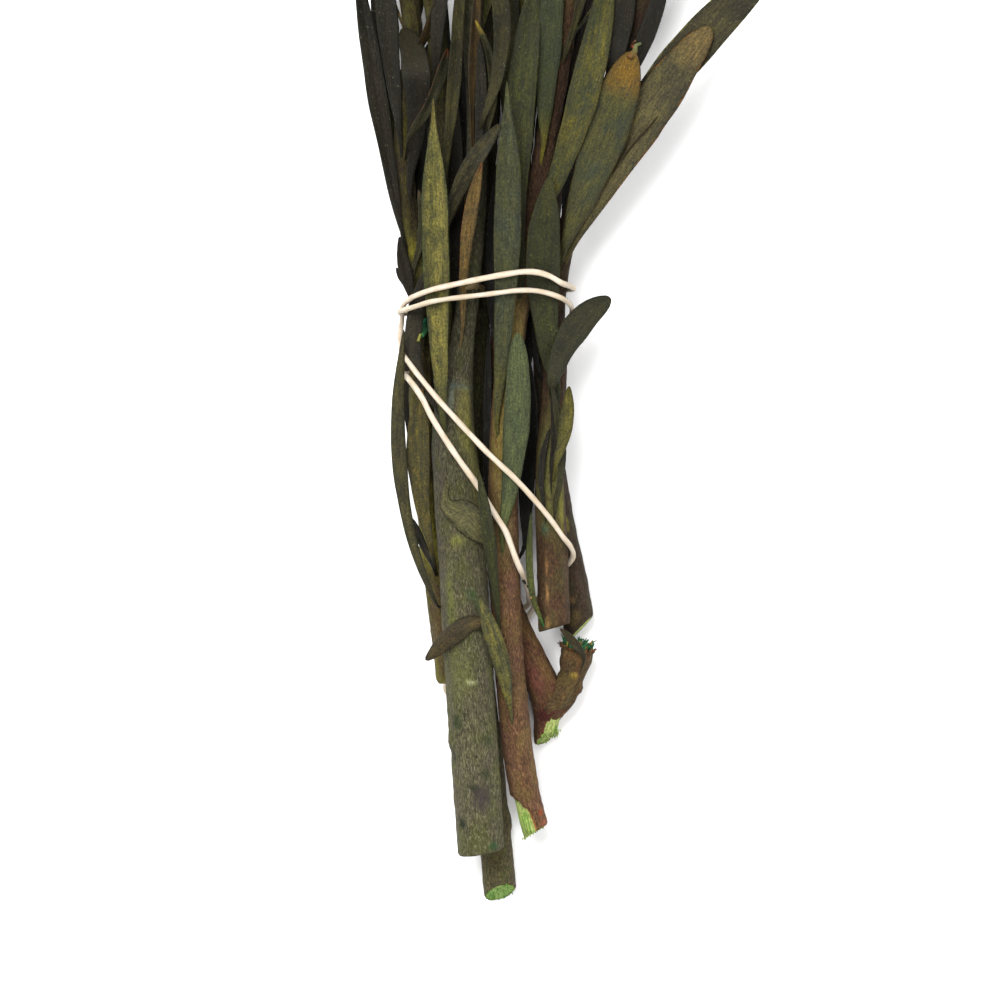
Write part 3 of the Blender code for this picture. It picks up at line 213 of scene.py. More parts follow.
# Leaves that the band crosses, or that lie clear of it, from the lowest to the uppermost:
# shoot, width, roll in degrees, base, middle, tip and finish
LEAVES_UNDER_BAND = [
    ("stem_7", 5.7, 0, (-26, 95), (-28.9, 119.6), (-30.7, 142), "charcoal"),
    ("stem_7", 5.7, 20, (-25.8, 71), (-31, 99), (-37.5, 139), "charcoal"),
    ("stem_7", 4.2, 35, (-22.4, 114.4), (-16.6, 126.5), (-13.5, 141), "tan_strip"),
    ("stem_1_left", 3.9, 0, (-16.6, 109), (-16, 123), (-13.5, 144), "charcoal"),
    ("stem_7", 7.5, -5, (-23.4, 83.7), (-21.3, 106.6), (-25, 122), "purple_round"),
    ("stem_7", 4.2, 40, (-23.4, 93.6), (-17.2, 105), (-13.8, 116), "orange_edge"),
    ("stem_1_left", 4.2, 30, (-14.8, 79.3), (-12.2, 106.6), (-9.6, 143), "olive_strip"),
    ("stem_1", 3.6, 40, (-6.8, 87.1), (-7.1, 112), (-5.2, 141), "tan_strip"),
    ("stem_1", 3.1, 0, (-6, 87.1), (-5, 102), (-5.2, 118), "charcoal"),
    ("stem_1", 2.6, 10, (-4.4, 91), (-1.8, 108), (-6, 123), "yellow_curl"),
    ("stem_1", 4.9, 10, (-4.4, 98), (0.4, 119), (-2.6, 142), "olive_strip"),
    ("stem_5", 6.2, 40, (28.6, 104.5), (37, 118.5), (43.2, 139), "charcoal"),
    ("stem_5", 6.2, 0, (27.8, 105.3), (31, 121), (33.8, 143), "charcoal"),
    ("stem_5", 10.9, 0, (22.4, 81.9), (45, 112), (72, 140), "grey_far"),
    ("stem_5", 5.2, 40, (20.4, 70.4), (33.6, 89.4), (44.5, 102.2), "grey_edge"),
    ("stem_5", 11.4, 0, (19.6, 68), (34.7, 94.7), (53.8, 121.7), "scuffed_grey"),
    ("stem_5", 12, 0, (17.1, 67), (26, 91.3), (34, 115), "ochre_tip"),
    ("stem_3", 3.1, 30, (17.2, 116.5), (20.8, 130), (21.8, 143), "olive_strip"),
    ("stem_3", 8.3, 10, (10.4, 73.3), (20.2, 100), (28.5, 137), "yellow_streak"),
    ("stem_3", 6.8, 0, (11.4, 92.8), (12.4, 114), (14.8, 143), "green_grey"),
    ("stem_3", 7.8, 0, (5.5, 56), (4.4, 91), (9.8, 139), "dark_green"),
    ("stem_1_left", 4.7, 0, (-14, 71), (-8.8, 84), (-0.4, 96.4), "speckled_dark"),
    ("stem_3", 7, 0, (-0.8, 22), (1.7, 62), (1.8, 106.1), "blue_crease"),
    ("stem_7", 2.4, 10, (-22.6, 59.3), (-20.3, 70.2), (-21.1, 80.1), "grey_green"),
    ("stem_7", 2.4, 20, (-23.4, 54.6), (-25, 57), (-26.9, 60.4), "charcoal"),
    ("stem_7", 3.6, 10, (-22.4, 51.5), (-24.6, 59), (-26, 68), "charcoal"),
    ("stem_1_left", 4.4, 0, (-16.6, 24), (-22.4, 42), (-16.6, 63.2), "purple_dark"),
    ("stem_1_left", 7, 0, (-14.6, 20), (-16.4, 57), (-17.2, 101.7), "yellow_mottled"),
    ("stem_1", 3.9, 20, (-9.6, 45.5), (-8.6, 68), (-4.9, 86.3), "tan_gold"),
    ("stem_3", 7, 0, (0.6, -8.2), (4, 16), (4.6, 42.1), "blue_green"),
    ("stem_7", 2.6, 0, (-18.2, -15.6), (-21.8, -8.3), (-25.7, -2.9), "charcoal"),
    ("stem_7", 6, 0, (-17.8, -12.5), (-21, 8), (-20.3, 28.1), "callus_tip"),
    ("stem_5", 9, 0, (14.6, 27.3), (11.2, 56), (12.7, 82.4), "dark_green"),
    ("stem_5", 1.9, 0, (11.4, -1.3), (10.7, 7.8), (12.8, 18.2), "charcoal"),
    ("stem_5", 2.4, 0, (13.3, 7.8), (14.3, 18.2), (13.8, 29.1), "charcoal"),
    ("stem_5", 2.6, 20, (14.3, -1.3), (15.9, 12), (13.3, 29.9), "dark_olive"),
    ("stem_5", 3.6, 0, (14.6, 9.9), (17, 18.7), (17.9, 29.1), "yellow_green"),
    ("stem_4_stub", 2.3, 0, (22, -41.5), (19.6, -37.6), (15.9, -33.6), "brown_olive"),
]
LEAVES_OVER_BAND = [
    ("stem_7", 3.9, 10, (-16.6, -26.5), (-25.4, 4), (-25, 42.4), "long_olive"),
    ("stem_1", 8.4, 0, (-14, -0.8), (-8.6, -4.4), (-3.6, -10.4), "bark_patch"),
    ("stem_5", 7.5, 0, (13.4, 30.6), (19, 43.6), (28.1, 52.3), "protruding"),
    ("stem_3", 3.4, 10, (-0.3, -32.5), (-2.4, -14), (-5.5, 7.2), "dark_green"),
    ("stem_1", 5.2, 0, (-3.4, -30.4), (-10.6, -33.6), (-18.9, -41.1), "brown_wrap"),
    ("stem_3", 4.9, 0, (2.3, -52), (-0.2, -40.6), (-4.9, -26), "moss_olive"),
    ("stem_5", 1.9, 0, (10.9, -31.7), (7.9, -20.8), (8, -4), "twig_green"),
]

# The middle of the bunch where the band goes round it: x and height
CORE = (-4.0, 12.0)

# The band's route from the left end of its upper strand. A top row gives x and y of a place on the
# front. A round row gives the angle round the core, y, and how far out it stands. A held row gives
# x, y and height where the band passes between or under the stems.
BAND_ROUTE = [
    ("round", 140, 52.6, 0.4), ("top", -18.2, 54), ("top", -10.4, 55.9), ("top", 0, 58), ("top", 7.8, 59),
    ("top", 13, 57.8), ("top", 15.8, 56.2), ("round", 8, 55.2, 0), ("round", -24, 55, 0),
    ("round", -60, 54, 0), ("round", -100, 51.5, 0), ("round", -140, 49.5, 0), ("round", 180, 48.6, 0),
    ("round", 150, 49.2, 0), ("round", 132, 50.6, 0), ("top", -15.3, 51.6), ("top", -4, 53),
    ("top", 6, 54.2), ("top", 12, 53.6), ("top", 15.6, 52.4), ("round", 8, 49.8, 0),
    ("round", -16, 44.6, 0.3), ("round", -44, 39.6, 0), ("round", -70, 35, 0), ("round", -100, 31.6, 0),
    ("round", -130, 32, 0), ("round", 180, 33, 0), ("round", 150, 31.8, 0), ("top", -20.6, 27.2),
    ("top", -17.2, 20.6), ("top", -11.4, 11.6), ("top", -5.9, 3.8), ("top", -1.8, -3), ("top", 1.4, -8),
    ("top", 4, -15), ("held", 7, -22, 17), ("held", 8, -26, 11), ("held", 6.4, -29, 4),
    ("held", 0, -32, 1.1), ("held", -7, -38.4, 1.1), ("held", -12.4, -44.6, 1.1), ("held", -15.8, -49, 2.2),
    ("held", -16.2, -51.6, 3.4), ("held", -13.8, -53.4, 2.4), ("held", -8, -49.4, 1.1),
    ("held", 0, -39.6, 1.1), ("held", 7.6, -31.4, 1.3), ("held", 11.2, -23, 5), ("held", 14.6, -18.4, 9.6),
    ("held", 18.2, -16.2, 11.6), ("held", 19.4, -13.4, 15.8), ("top", 16.2, -9.4), ("top", 12, -3.6),
    ("top", 4.4, 5), ("top", -3, 12), ("top", -11, 20.5), ("top", -18, 28.4), ("round", 146, 36, 0),
    ("round", 165, 40.6, 0), ("round", 172, 45, 0.4), ("round", 160, 49.8, 1),
]


class Leaf:
    """A laid leaf: its line, the normals along it, its width and the name of its finish."""

    def __init__(self, node, points, normals, width, finish):
        self.node = node
        self.points = points
        self.normals = normals
        self.width = width
        self.finish = finish


class Head:
    """A laid flower head: its foot, the way it points, its bracts, and the part's solids of it."""

    def __init__(self, end, way, bracts):
        self.way = way
        self.bracts = bracts
        self.side, self.top = side_ways(way)
        self.foot = end + way * HEAD_CLEARANCE
        self.solids = [cone_solid(self.foot, way, self.side, self.top)]
        for angle, length, belly, width in bracts:
            out = around(angle, self.side, self.top)
            self.solids.append(bract_solid(self.foot, way, out, length, belly, width))


def side_ways(way):
    """The level direction across a way, and the one square to both."""
    side = way.cross(UP).normalized()
    return side, side.cross(way)


def around(angle, side, top):
    """The way out at an angle between two directions."""
    return math.cos(angle) * side + math.sin(angle) * top


def circle(count):
    """Angles spread evenly all the way round."""
    return [2.0 * math.pi * k / count for k in range(count)]


def box_of(verts):
    """The lowest and highest corners of a box round some points."""
    low = Vector([min(v[i] for v in verts) for i in range(3)])
    return low, Vector([max(v[i] for v in verts) for i in range(3)])


def outward_tree(verts, faces):
    """A search tree of a closed solid whose faces point out."""
    work = bmesh.new()
    corners = [work.verts.new(v) for v in verts]
    for face in faces:
        work.faces.new([corners[i] for i in face])
    bmesh.ops.recalc_face_normals(work, faces=work.faces)
    tree = BVHTree.FromBMesh(work)
    work.free()
    return tree


class Placed:
    """A laid solid, kept for finding what lies under or in the way of the next one."""

    def __init__(self, node, verts, faces):
        self.node = node
        self.tree = outward_tree(verts, faces)
        self.low, self.high = box_of(verts)

    def covers(self, x, y):
        """Whether a point is within this solid's footprint box."""
        return self.low.x <= x <= self.high.x and self.low.y <= y <= self.high.y

    def near(self, low, high):
        """Whether a box meets this solid's box."""
        return all(self.low[i] <= high[i] and low[i] <= self.high[i] for i in range(3))


def catmull(a, b, c, d, t):
    """A point on the smooth curve between b and c."""
    return 0.5 * (2.0 * b + (c - a) * t + (2.0 * a - 5.0 * b + 4.0 * c - d) * t * t
                  + (3.0 * b - a - 3.0 * c + d) * t ** 3)


def smooth_rows(rows, step, closed=False):
    """Rows of numbers, resampled every step along a smooth curve through them."""
    count = len(rows)
    spans = count if closed else count - 1
    fine = []
    for i in range(spans):
        picks = [i - 1, i, i + 1, i + 2]
        if closed:
            four = [rows[p % count] for p in picks]
        else:
            four = [rows[min(max(p, 0), count - 1)] for p in picks]
        length = math.dist(four[1][:3], four[2][:3])
        pieces = max(1, round(length / step))
        for k in range(pieces):
            t = k / pieces
            fine.append([catmull(*values, t) for values in zip(*four)])
    if not closed:
        fine.append(list(rows[-1]))
    return fine


def raise_hollows(heights, rounds):
    """Lift the dips in a run of heights, as something stiff bridges them."""
    for _ in range(rounds):
        for i in range(1, len(heights) - 1):
            heights[i] = max(heights[i], (heights[i - 1] + heights[i + 1]) / 2.0)


def lay_line(stations, laid_lines):
    """A shoot's centre line, lifted where it would cross the shoots laid before it."""
    line = smooth_rows(stations, LINE_STEP)
    lifts = []
    for x, y, z, radius in line:
        need = z
        for other in laid_lines:
            for ox, oy, oz, other_radius in other:
                if abs(oy - y) > LINE_STEP:
                    continue
                reach = radius + other_radius + GAP + SHOOT_CLEARANCE
                aside = abs(ox - x)
                if aside < reach and oz < z + SHOOT_ABOVE:
                    need = max(need, oz + math.sqrt(reach * reach - aside * aside))
        lifts.append(need - z)
    raise_hollows(lifts, 40)
    return [[x, y, z + lift, radius] for (x, y, z, radius), lift in zip(line, lifts)]


def tangents(points, closed=False):
    """The direction of a line at each of its points."""
    count = len(points)
    result = []
    for i in range(count):
        if closed:
            before, after = points[i - 1], points[(i + 1) % count]
        else:
            before, after = points[max(i - 1, 0)], points[min(i + 1, count - 1)]
        result.append((after - before).normalized())
    return result


def ring_quads(rings, sides, closed=False):
    """Four-sided faces between rings of points, with a cap at each end unless the rings close."""
    faces = []
    for i in range(rings if closed else rings - 1):
        a = i * sides
        b = ((i + 1) % rings) * sides
        for k in range(sides):
            n = (k + 1) % sides
            faces.append((a + k, a + n, b + n, b + k))
    if not closed:
        faces.append(tuple(reversed(range(sides))))
        faces.append(tuple(range((rings - 1) * sides, rings * sides)))
    return faces


def ring_faces(rings, sides, closed=False):
    """The same faces, the four-sided ones split in two, as the part's solids have them."""
    faces = []
    for face in ring_quads(rings, sides, closed):
        if len(face) == 4:
            faces.extend([face[:3], (face[0], face[2], face[3])])
        else:
            faces.append(face)
    return faces


def slanted(cut, offset, side, top):
    """How far a slanted cut moves a point that stands off the middle of its shoot."""
    return cut[0] * offset.dot(top) + cut[1] * offset.dot(side)


def stem_solid(line, sides, cut):
    """A stem: rings of points along its line, with a flat side down and a slanted lower cut."""
    stride = max(1, round(RING_STEP / LINE_STEP))
    keep = {0, FOOT_ROWS, *range(FOOT_ROWS + stride, len(line) - 1, stride), len(line) - 1}
    picked = [line[i] for i in sorted(keep)]
    points = [Vector(row[:3]) for row in picked]
    verts = []
    for i, (point, way, row) in enumerate(zip(points, tangents(points), picked)):
        side, top = side_ways(way)
        for k in range(sides):
            offset = row[3] * around(-math.pi / 2.0 + (k + 0.5) * 2.0 * math.pi / sides, side, top)
            slant = slanted(cut, offset, side, top) if i == 0 else 0.0
            verts.append(point + offset + way * slant)
    return verts, ring_faces(len(picked), sides)


def leaf_profile(t):
    """A leaf's width at a share of its length: a narrow stalk, widest past the middle, a blunt tip."""
    stalk = STALK_SHARE + (1.0 - STALK_SHARE) * min(1.0, t / WIDEST_AT) ** 1.3
    tip = math.sqrt(max(0.0, 1.0 - max(0.0, (t - WIDEST_AT) / (1.02 - WIDEST_AT)) ** 2.4))
    return max(TIP_SHARE, stalk * tip)


def blade_solid(points, normals, width, thickness, profile=leaf_profile, fold=LEAF_FOLD):
    """A thin blade: left edge, upper rib, right edge and lower rib at each of its stations."""
    ways = tangents(points)
    verts = []
    count = len(points)
    for i, (point, way, normal) in enumerate(zip(points, ways, normals)):
        t = i / (count - 1)
        side = way.cross(normal).normalized()
        face = side.cross(way).normalized()
        half = 0.5 * width * profile(t)
        lift = face * half * fold
        rib = face * min(thickness / 2.0, 0.35 + half)
        verts.extend([point - side * half + lift, point + rib, point + side * half + lift, point - rib])
    faces = []
    for i in range(count - 1):
        a = 4 * i
        b = a + 4
        for edge in (0, 2):
            for rib_corner in (1, 3):
                forward = (rib_corner - edge) % 4 == 1
                quad = (a + edge, a + rib_corner, b + rib_corner, b + edge)
                split = [(quad[0], quad[1], quad[2]), (quad[0], quad[2], quad[3])]
                faces.extend(split if forward else [tuple(reversed(f)) for f in split])
    last = 4 * (count - 1)
    faces.append((3, 2, 1, 0))
    faces.append((last, last + 1, last + 2, last + 3))
    return verts, faces


def highest_at(placed, x, y):
    """The height of the uppermost laid surface at a point, or of the floor."""
    best = 0.0
    for item in placed:
        if item.covers(x, y):
            hit = item.tree.ray_cast(Vector((x, y, PROBE_HEIGHT)), -UP)[0]
            if hit is not None:
                best = max(best, hit.z)
    return best


def hits_other(placed, node, verts, faces):
    """Whether a solid crosses any laid solid of another node."""
    low, high = box_of(verts)
    close = [item for item in placed if item.node != node and item.near(low, high)]
    tree = BVHTree.FromPolygons(verts, faces) if close else None
    return any(tree.overlap(item.tree) for item in close)


def keep_leaf(placed, leaves, node, points, normals, width, finish, lowest=-PROBE_HEIGHT):
    """Lay a leaf there, if its blade with a gap all round is clear of the other nodes."""
    verts, faces = blade_solid(points, normals, width + 2.0 * GAP, BLADE_THICKNESS + 2.0 * GAP)
    if min(v.z for v in verts) < lowest or hits_other(placed, node, verts, faces):
        return False
    placed.append(Placed(node, *blade_solid(points, normals, width, BLADE_THICKNESS)))
    leaves.append(Leaf(node, points, normals, width, finish))
    return True


def nearest_row(line, x, y):
    """The index of a line's point nearest to a place seen from above."""
    return min(range(len(line)), key=lambda i: (line[i][0] - x) ** 2 + (line[i][1] - y) ** 2)


def draped_leaf(placed, line, width, roll, base, middle, tip, back, lift):
    """The centre line and normals of a leaf that lies on what is below it."""
    steps = BLADE_STEPS if math.dist(base, tip) > SHORT_LEAF else BLADE_STEPS - 2
    way_back = -1.0 if tip[1] > base[1] else 1.0
    root_row = line[nearest_row(line, base[0], base[1] + way_back * back)]
    root = Vector(root_row[:3])
    flat = []
    for i in range(steps + 1):
        flat.append(three_point_curve((*base, 0.0), (*middle, 0.0), (*tip, 0.0), i / steps))
    ways = tangents(flat)
    tilt = math.radians(roll)
    heights = []
    for i, (spot, way) in enumerate(zip(flat, ways)):
        across = Vector((way.y, -way.x, 0.0))
        half = 0.5 * width * leaf_profile((i + 1) / (steps + 1))
        ground = 0.0
        for share in PROBES_ACROSS:
            for ahead in PROBES_ALONG:
                place = spot + across * half * share + way * ahead
                ground = max(ground, highest_at(placed, place.x, place.y))
        heights.append(ground + GAP + BLADE_THICKNESS / 2.0 + half * abs(math.sin(tilt)) + lift)
    level = root.z + root_row[3] * LEAF_LEVEL_SHARE
    heights = [max(h, level) for h in heights]
    raise_hollows(heights, 60)
    points = [root] + [Vector((spot.x, spot.y, h)) for spot, h in zip(flat, heights)]
    turned = tangents(points)
    normals = []
    for way in turned:
        normal = UP - way * UP.dot(way)
        normals.append(Matrix.Rotation(tilt, 3, way) @ normal.normalized())
    return points, normals


def three_point_curve(base, middle, tip, t):
    """A point on the parabola through a leaf's base, middle and tip."""
    a = (1.0 - t) * (1.0 - 2.0 * t)
    b = 4.0 * t * (1.0 - t)
    c = t * (2.0 * t - 1.0)
    return Vector([a * p + b * q + c * r for p, q, r in zip(base, middle, tip)])


def place_deep_leaf(placed, leaves, shoots, row):
    """Lay one leaf deep in the bunch at its own heights, trying nearby roots until it is clear."""
    shoot, width, base, middle, tip, finish = row
    node, line = shoots[shoot]
    spots = [three_point_curve(base, middle, tip, i / BLADE_STEPS) for i in range(BLADE_STEPS + 1)]
    for back in LEAF_ROOTS_BACK:
        points = [Vector(line[nearest_row(line, base[0], base[1] - back)][:3])] + spots
        normals = [(UP - way * UP.dot(way)).normalized() for way in tangents(points)]
        if keep_leaf(placed, leaves, node, points, normals, width, finish):
            return True
    return False


def place_leaf(placed, leaves, shoots, row):
    """Lay one leaf of the tables, trying nearby roots and small lifts until it is clear."""
    shoot, width, roll, base, middle, tip, finish = row
    node, line = shoots[shoot]
    for lift in LEAF_LIFTS:
        for back in LEAF_ROOTS_BACK:
            for turn in (roll, 0, -roll):
                points, normals = draped_leaf(placed, line, width, turn, base, middle, tip, back, lift)
                if keep_leaf(placed, leaves, node, points, normals, width, finish):
                    return


def try_free_leaf(placed, leaves, node, root, way, out, length, width, spread):
    """One leaf that stands free of its shoot, if it is clear of the floor and of the other nodes."""
    points = []
    for i in range(SHOOT_LEAF_STEPS):
        t = i / (SHOOT_LEAF_STEPS - 1)
        outward = length * spread * (1.35 * t - 0.55 * t * t)
        points.append(root + way * length * t * 0.96 + out * outward)
    finish = "free_" + str(len(leaves) % FREE_FINISHES)
    return keep_leaf(placed, leaves, node, points, [out] * SHOOT_LEAF_STEPS, width, finish, FLOOR_CLEARANCE)


def shoot_leaves(placed, leaves, node, line, chance):
    """Leaves up one shoot by the golden angle, each where it is clear of the other nodes."""
    rows = [row for row in line if row[1] > LEAF_LOWEST_Y]
    turn = chance.uniform(0.0, 2.0 * math.pi)
    for number in range(SHOOT_LEAVES):
        share = (number + 0.5) / SHOOT_LEAVES
        index = min(len(rows) - 2, int(share * (len(rows) - 1)))
        length = LEAF_LENGTH * chance.uniform(0.78, 1.0) * (1.0 - 0.15 * share)
        width = LEAF_WIDTH * chance.uniform(0.8, 1.0)
        turn += GOLDEN_ANGLE
        root = Vector(rows[index][:3])
        way = (Vector(rows[index + 1][:3]) - root).normalized()
        side, top = side_ways(way)
        for nudge, spread in [(nudge, spread) for nudge in LEAF_NUDGES for spread in LEAF_SPREADS]:
            out = around(turn + nudge, side, top)
            if try_free_leaf(placed, leaves, node, root, way, out, length, width, spread):
                break


def back_leaves(placed, leaves, node, line, chance):
    """A few leaves on the hidden side of a shoot, close along it, where there is room."""
    width = LEAF_WIDTH * BACK_LEAF_WIDTH_SHARE
    for y in BACK_LEAF_PLACES:
        index = nearest_row(line, line[nearest_row(line, 0.0, y)][0], y)
        root = Vector(line[index][:3])
        way = (Vector(line[index + 1][:3]) - root).normalized()
        side = side_ways(way)[0]
        length = LEAF_LENGTH * chance.uniform(0.6, 0.8)
        for lean in BACK_LEAF_LEANS:
            out = (side * lean - UP).normalized()
            if try_free_leaf(placed, leaves, node, root, way, out, length, width, BACK_LEAF_SPREAD):
                break


def bract_profile(t):
    """A bract's width at a share of its length."""
    return (0.3 + 0.7 * math.sin(math.pi * 0.72 * t) ** 1.5) * (1.0 - 0.72 * t ** 5)


def bract_point(foot, way, out, length, belly, t, hug=0.0):
    """A place on a bract, which rises from its head's foot, bows outward and turns in at its tip."""
    rise = math.sin(math.pi / 2.0 * min(1.0, 1.6 * t))
    turn_in = BRACT_TURN_IN * belly * max(0.0, t - BRACT_TURN_FROM) / (1.0 - BRACT_TURN_FROM)
    outward = BRACT_ROOT + (belly - BRACT_ROOT) * rise - turn_in
    return foot + way * (BRACT_ROOT + length * t) + out * max(outward, hug)


def bract_solid(foot, way, out, length, belly, width):
    """One bract as the part has it."""
    shares = [i / (BRACT_STEPS - 1) for i in range(BRACT_STEPS)]
    points = [bract_point(foot, way, out, length, belly, t) for t in shares]
    return blade_solid(points, [out] * BRACT_STEPS, width, BRACT_THICKNESS, bract_profile, BRACT_FOLD)


def cone_solid(foot, way, side, top):
    """The small cone in the middle of a head, on its short foot."""
    rows = [(0.0, 1.8), (1.5, CONE_RADIUS * 0.7), (5.0, CONE_RADIUS), (10.0, CONE_RADIUS),
            (17.0, CONE_RADIUS * 0.75), (CONE_HEIGHT, 1.6)]
    verts = [foot + way * along + radius * around(angle, side, top)
             for along, radius in rows for angle in circle(CONE_SIDES)]
    return verts, ring_faces(len(rows), CONE_SIDES)


def head_parts(line, chance):
    """The flower head at the end of a shoot, leaning so that its lowest bract just rests on the floor."""
    end = Vector(line[-1][:3])
    level = end - Vector(line[-3][:3])
    level.z = 0.0
    level.normalize()
    bracts = []
    for count, length, belly, width, start in BRACT_WHORLS:
        for angle in circle(count):
            bracts.append((start + angle + chance.uniform(-0.06, 0.06),
                           HEAD_LENGTH * length * chance.uniform(0.9, 1.0),
                           HEAD_RADIUS * belly * chance.uniform(0.92, 1.02),
                           width * chance.uniform(0.92, 1.05)))
    low, high = -HEAD_LEAN, HEAD_LEAN
    for _ in range(LEAN_HALVINGS):
        lean = (low + high) / 2.0
        head = Head(end, (level + UP * lean).normalized(), bracts)
        if min(v.z for solid in head.solids for v in solid[0]) < 0.0:
            low = lean
        else:
            high = lean
    return Head(end, (level + UP * high).normalized(), bracts)


def outermost_at(placed, angle, y):
    """How far the bunch reaches from its core at an angle, in the slice at y."""
    out = Vector((math.cos(angle), 0.0, math.sin(angle)))
    aside = Vector((-out.z, 0.0, out.x))
    reach = 0.0
    for slide in BAND_PROBES:
        for along in BAND_PROBES:
            core = Vector((CORE[0], y + along, CORE[1])) + aside * slide
            start = core + out * FAR_OUT
            for item in placed:
                hit, _, _, distance = item.tree.ray_cast(start, -out, FAR_OUT)
                if hit is not None:
                    reach = max(reach, FAR_OUT - distance)
    return reach


def highest_near(placed, x, y):
    """The height of the uppermost surface under the band's width at a point."""
    ground = 0.0
    for dx in BAND_PROBES:
        for dy in BAND_PROBES:
            ground = max(ground, highest_at(placed, x + dx, y + dy))
    return ground


def from_core(point):
    """The way from the bunch's core to a point, in the slice that the point lies in."""
    return Vector((point.x - CORE[0], 0.0, point.z - CORE[1]))


def route_point(placed, row):
    """One row of the band's route as a point."""
    if row[0] == "top":
        return Vector((row[1], row[2], highest_near(placed, row[1], row[2]) + BAND_STAND))
    if row[0] == "held":
        return Vector(row[1:])
    angle = math.radians(row[1])
    reach = outermost_at(placed, angle, row[2]) + BAND_STAND + row[3]
    return Vector((CORE[0] + reach * math.cos(angle), row[2], CORE[1] + reach * math.sin(angle)))


def push_out(placed, point, reach):
    """A point moved out of, and clear of, every laid solid."""
    margin = Vector((reach, reach, reach))
    for item in placed:
        if not item.near(point - margin, point + margin):
            continue
        spot, normal, _, distance = item.tree.find_nearest(point)
        if (point - spot).dot(normal) < 0.0:
            point = spot + normal * reach
        elif distance < reach:
            point = spot + (point - spot).normalized() * reach
    return point


def cleared(placed, point, kind, extra):
    """A point of the band moved outward until it is clear of the bunch."""
    if kind == "top":
        point.z = max(point.z, highest_near(placed, point.x, point.y) + BAND_STAND)
    elif kind == "round":
        out = from_core(point)
        need = outermost_at(placed, math.atan2(out.z, out.x), point.y) + BAND_STAND + extra
        if out.length < need:
            out = out.normalized() * need
            point = Vector((CORE[0] + out.x, point.y, CORE[1] + out.z))
    else:
        point = push_out(placed, point, BAND_STAND + 0.1)
    point.z = max(point.z, BAND_LOWEST)
    return point


def band_line(placed):
    """The band's centre line, taut over the front, round the sides and under the back."""
    rows = [tuple(route_point(placed, row)) for row in BAND_ROUTE]
    fine = smooth_rows(rows, BAND_STEP / 2.0, closed=True)
    kinds = []
    for i, row in enumerate(rows):
        after = (i + 1) % len(rows)
        pieces = max(1, round(math.dist(row, rows[after]) / (BAND_STEP / 2.0)))
        for k in range(pieces):
            kind, *numbers = BAND_ROUTE[i if k < pieces / 2 else after]
            kinds.append((kind, numbers[2] if kind == "round" else 0.0))
    points = [cleared(placed, Vector(row), *kind) for row, kind in zip(fine, kinds)]
    for _ in range(BAND_ROUNDS):
        for i, point in enumerate(points):
            bridge = (points[i - 1] + points[(i + 1) % len(points)]) / 2.0
            if kinds[i][0] == "top":
                point.z = max(point.z, bridge.z)
            elif kinds[i][0] == "round":
                out = from_core(point)
                far = from_core(bridge).length
                if far > out.length:
                    out = out.normalized() * far
                    point.x = CORE[0] + out.x
                    point.z = max(CORE[1] + out.z, BAND_LOWEST)
            else:
                points[i] = push_out(placed, point.lerp(bridge, 0.1), BAND_STAND + 0.15)
                points[i].z = max(points[i].z, BAND_LOWEST)
    return clear_band(placed, points[::2], kinds[::2])


def clear_band(placed, points, kinds):
    """The band's points, moved outward in small steps until its tube is clear all along."""
    total = len(points)
    for _ in range(BAND_TRIES):
        tree = BVHTree.FromPolygons(*band_solid(points, BAND_RADIUS + 0.2))
        hits = set()
        for item in placed:
            for mine, _ in tree.overlap(item.tree):
                ring = mine // (2 * BAND_SIDES)
                hits.update((ring, (ring + 1) % total))
        for i in sorted(hits):
            if kinds[i][0] == "top":
                points[i].z += BAND_NUDGE
            elif kinds[i][0] == "round":
                points[i] += from_core(points[i]).normalized() * BAND_NUDGE
                points[i].z = max(points[i].z, BAND_LOWEST)
            else:
                points[i] = push_out(placed, points[i], BAND_STAND + 0.4)
    return points


def closed_frames(points):
    """Two directions across a closed line at each of its points, carried round without a twist."""
    ways = tangents(points, closed=True)
    normal = ways[0].orthogonal().normalized()
    carried = []
    for way in ways:
        normal = (normal - way * normal.dot(way)).normalized()
        carried.append(normal)
    home = (normal - ways[0] * normal.dot(ways[0])).normalized()
    twist = math.atan2(home.cross(carried[0]).dot(ways[0]), home.dot(carried[0]))
    frames = []
    for i, (way, normal) in enumerate(zip(ways, carried)):
        turned = Matrix.Rotation(twist * i / len(points), 3, way) @ normal
        frames.append((turned, way.cross(turned)))
    return frames


def band_solid(points, radius):
    """The band as the part has it: a closed tube along its line."""
    verts = [point + radius * around(angle, *frame)
             for point, frame in zip(points, closed_frames(points)) for angle in circle(BAND_SIDES)]
    return verts, ring_faces(len(points), BAND_SIDES, closed=True)


# Small leaves, painted near-black as shade, that close the gaps deep in the bunch: shoot, width, base,
# middle, tip and finish
FILL_LEAVES = [
    ("stem_7", 5, (-20.4, 62, 9), (-20.8, 86, 9), (-19, 118, 10), "deep"),
    ("stem_1", 5.6, (-9.4, 66, 8), (-9.8, 94, 8.4), (-9.4, 134, 9.4), "deep"),
    ("stem_1", 5, (-14, 72, 8), (-14.8, 100, 8.4), (-15.4, 138, 9.4), "deep"),
    ("stem_7", 4.4, (-20.6, 4, 7), (-23.6, 26, 7), (-23.4, 48, 7), "charcoal"),
    ("stem_3", 4.4, (5.4, 24, 8), (6.8, 40, 8), (7.4, 58, 8), "deep"),
]

# How far such a leaf may be lifted to lie clear
FILL_LIFTS = (0.0, 1.5, -1.5, 3.0, -3.0, 4.5, -4.5)

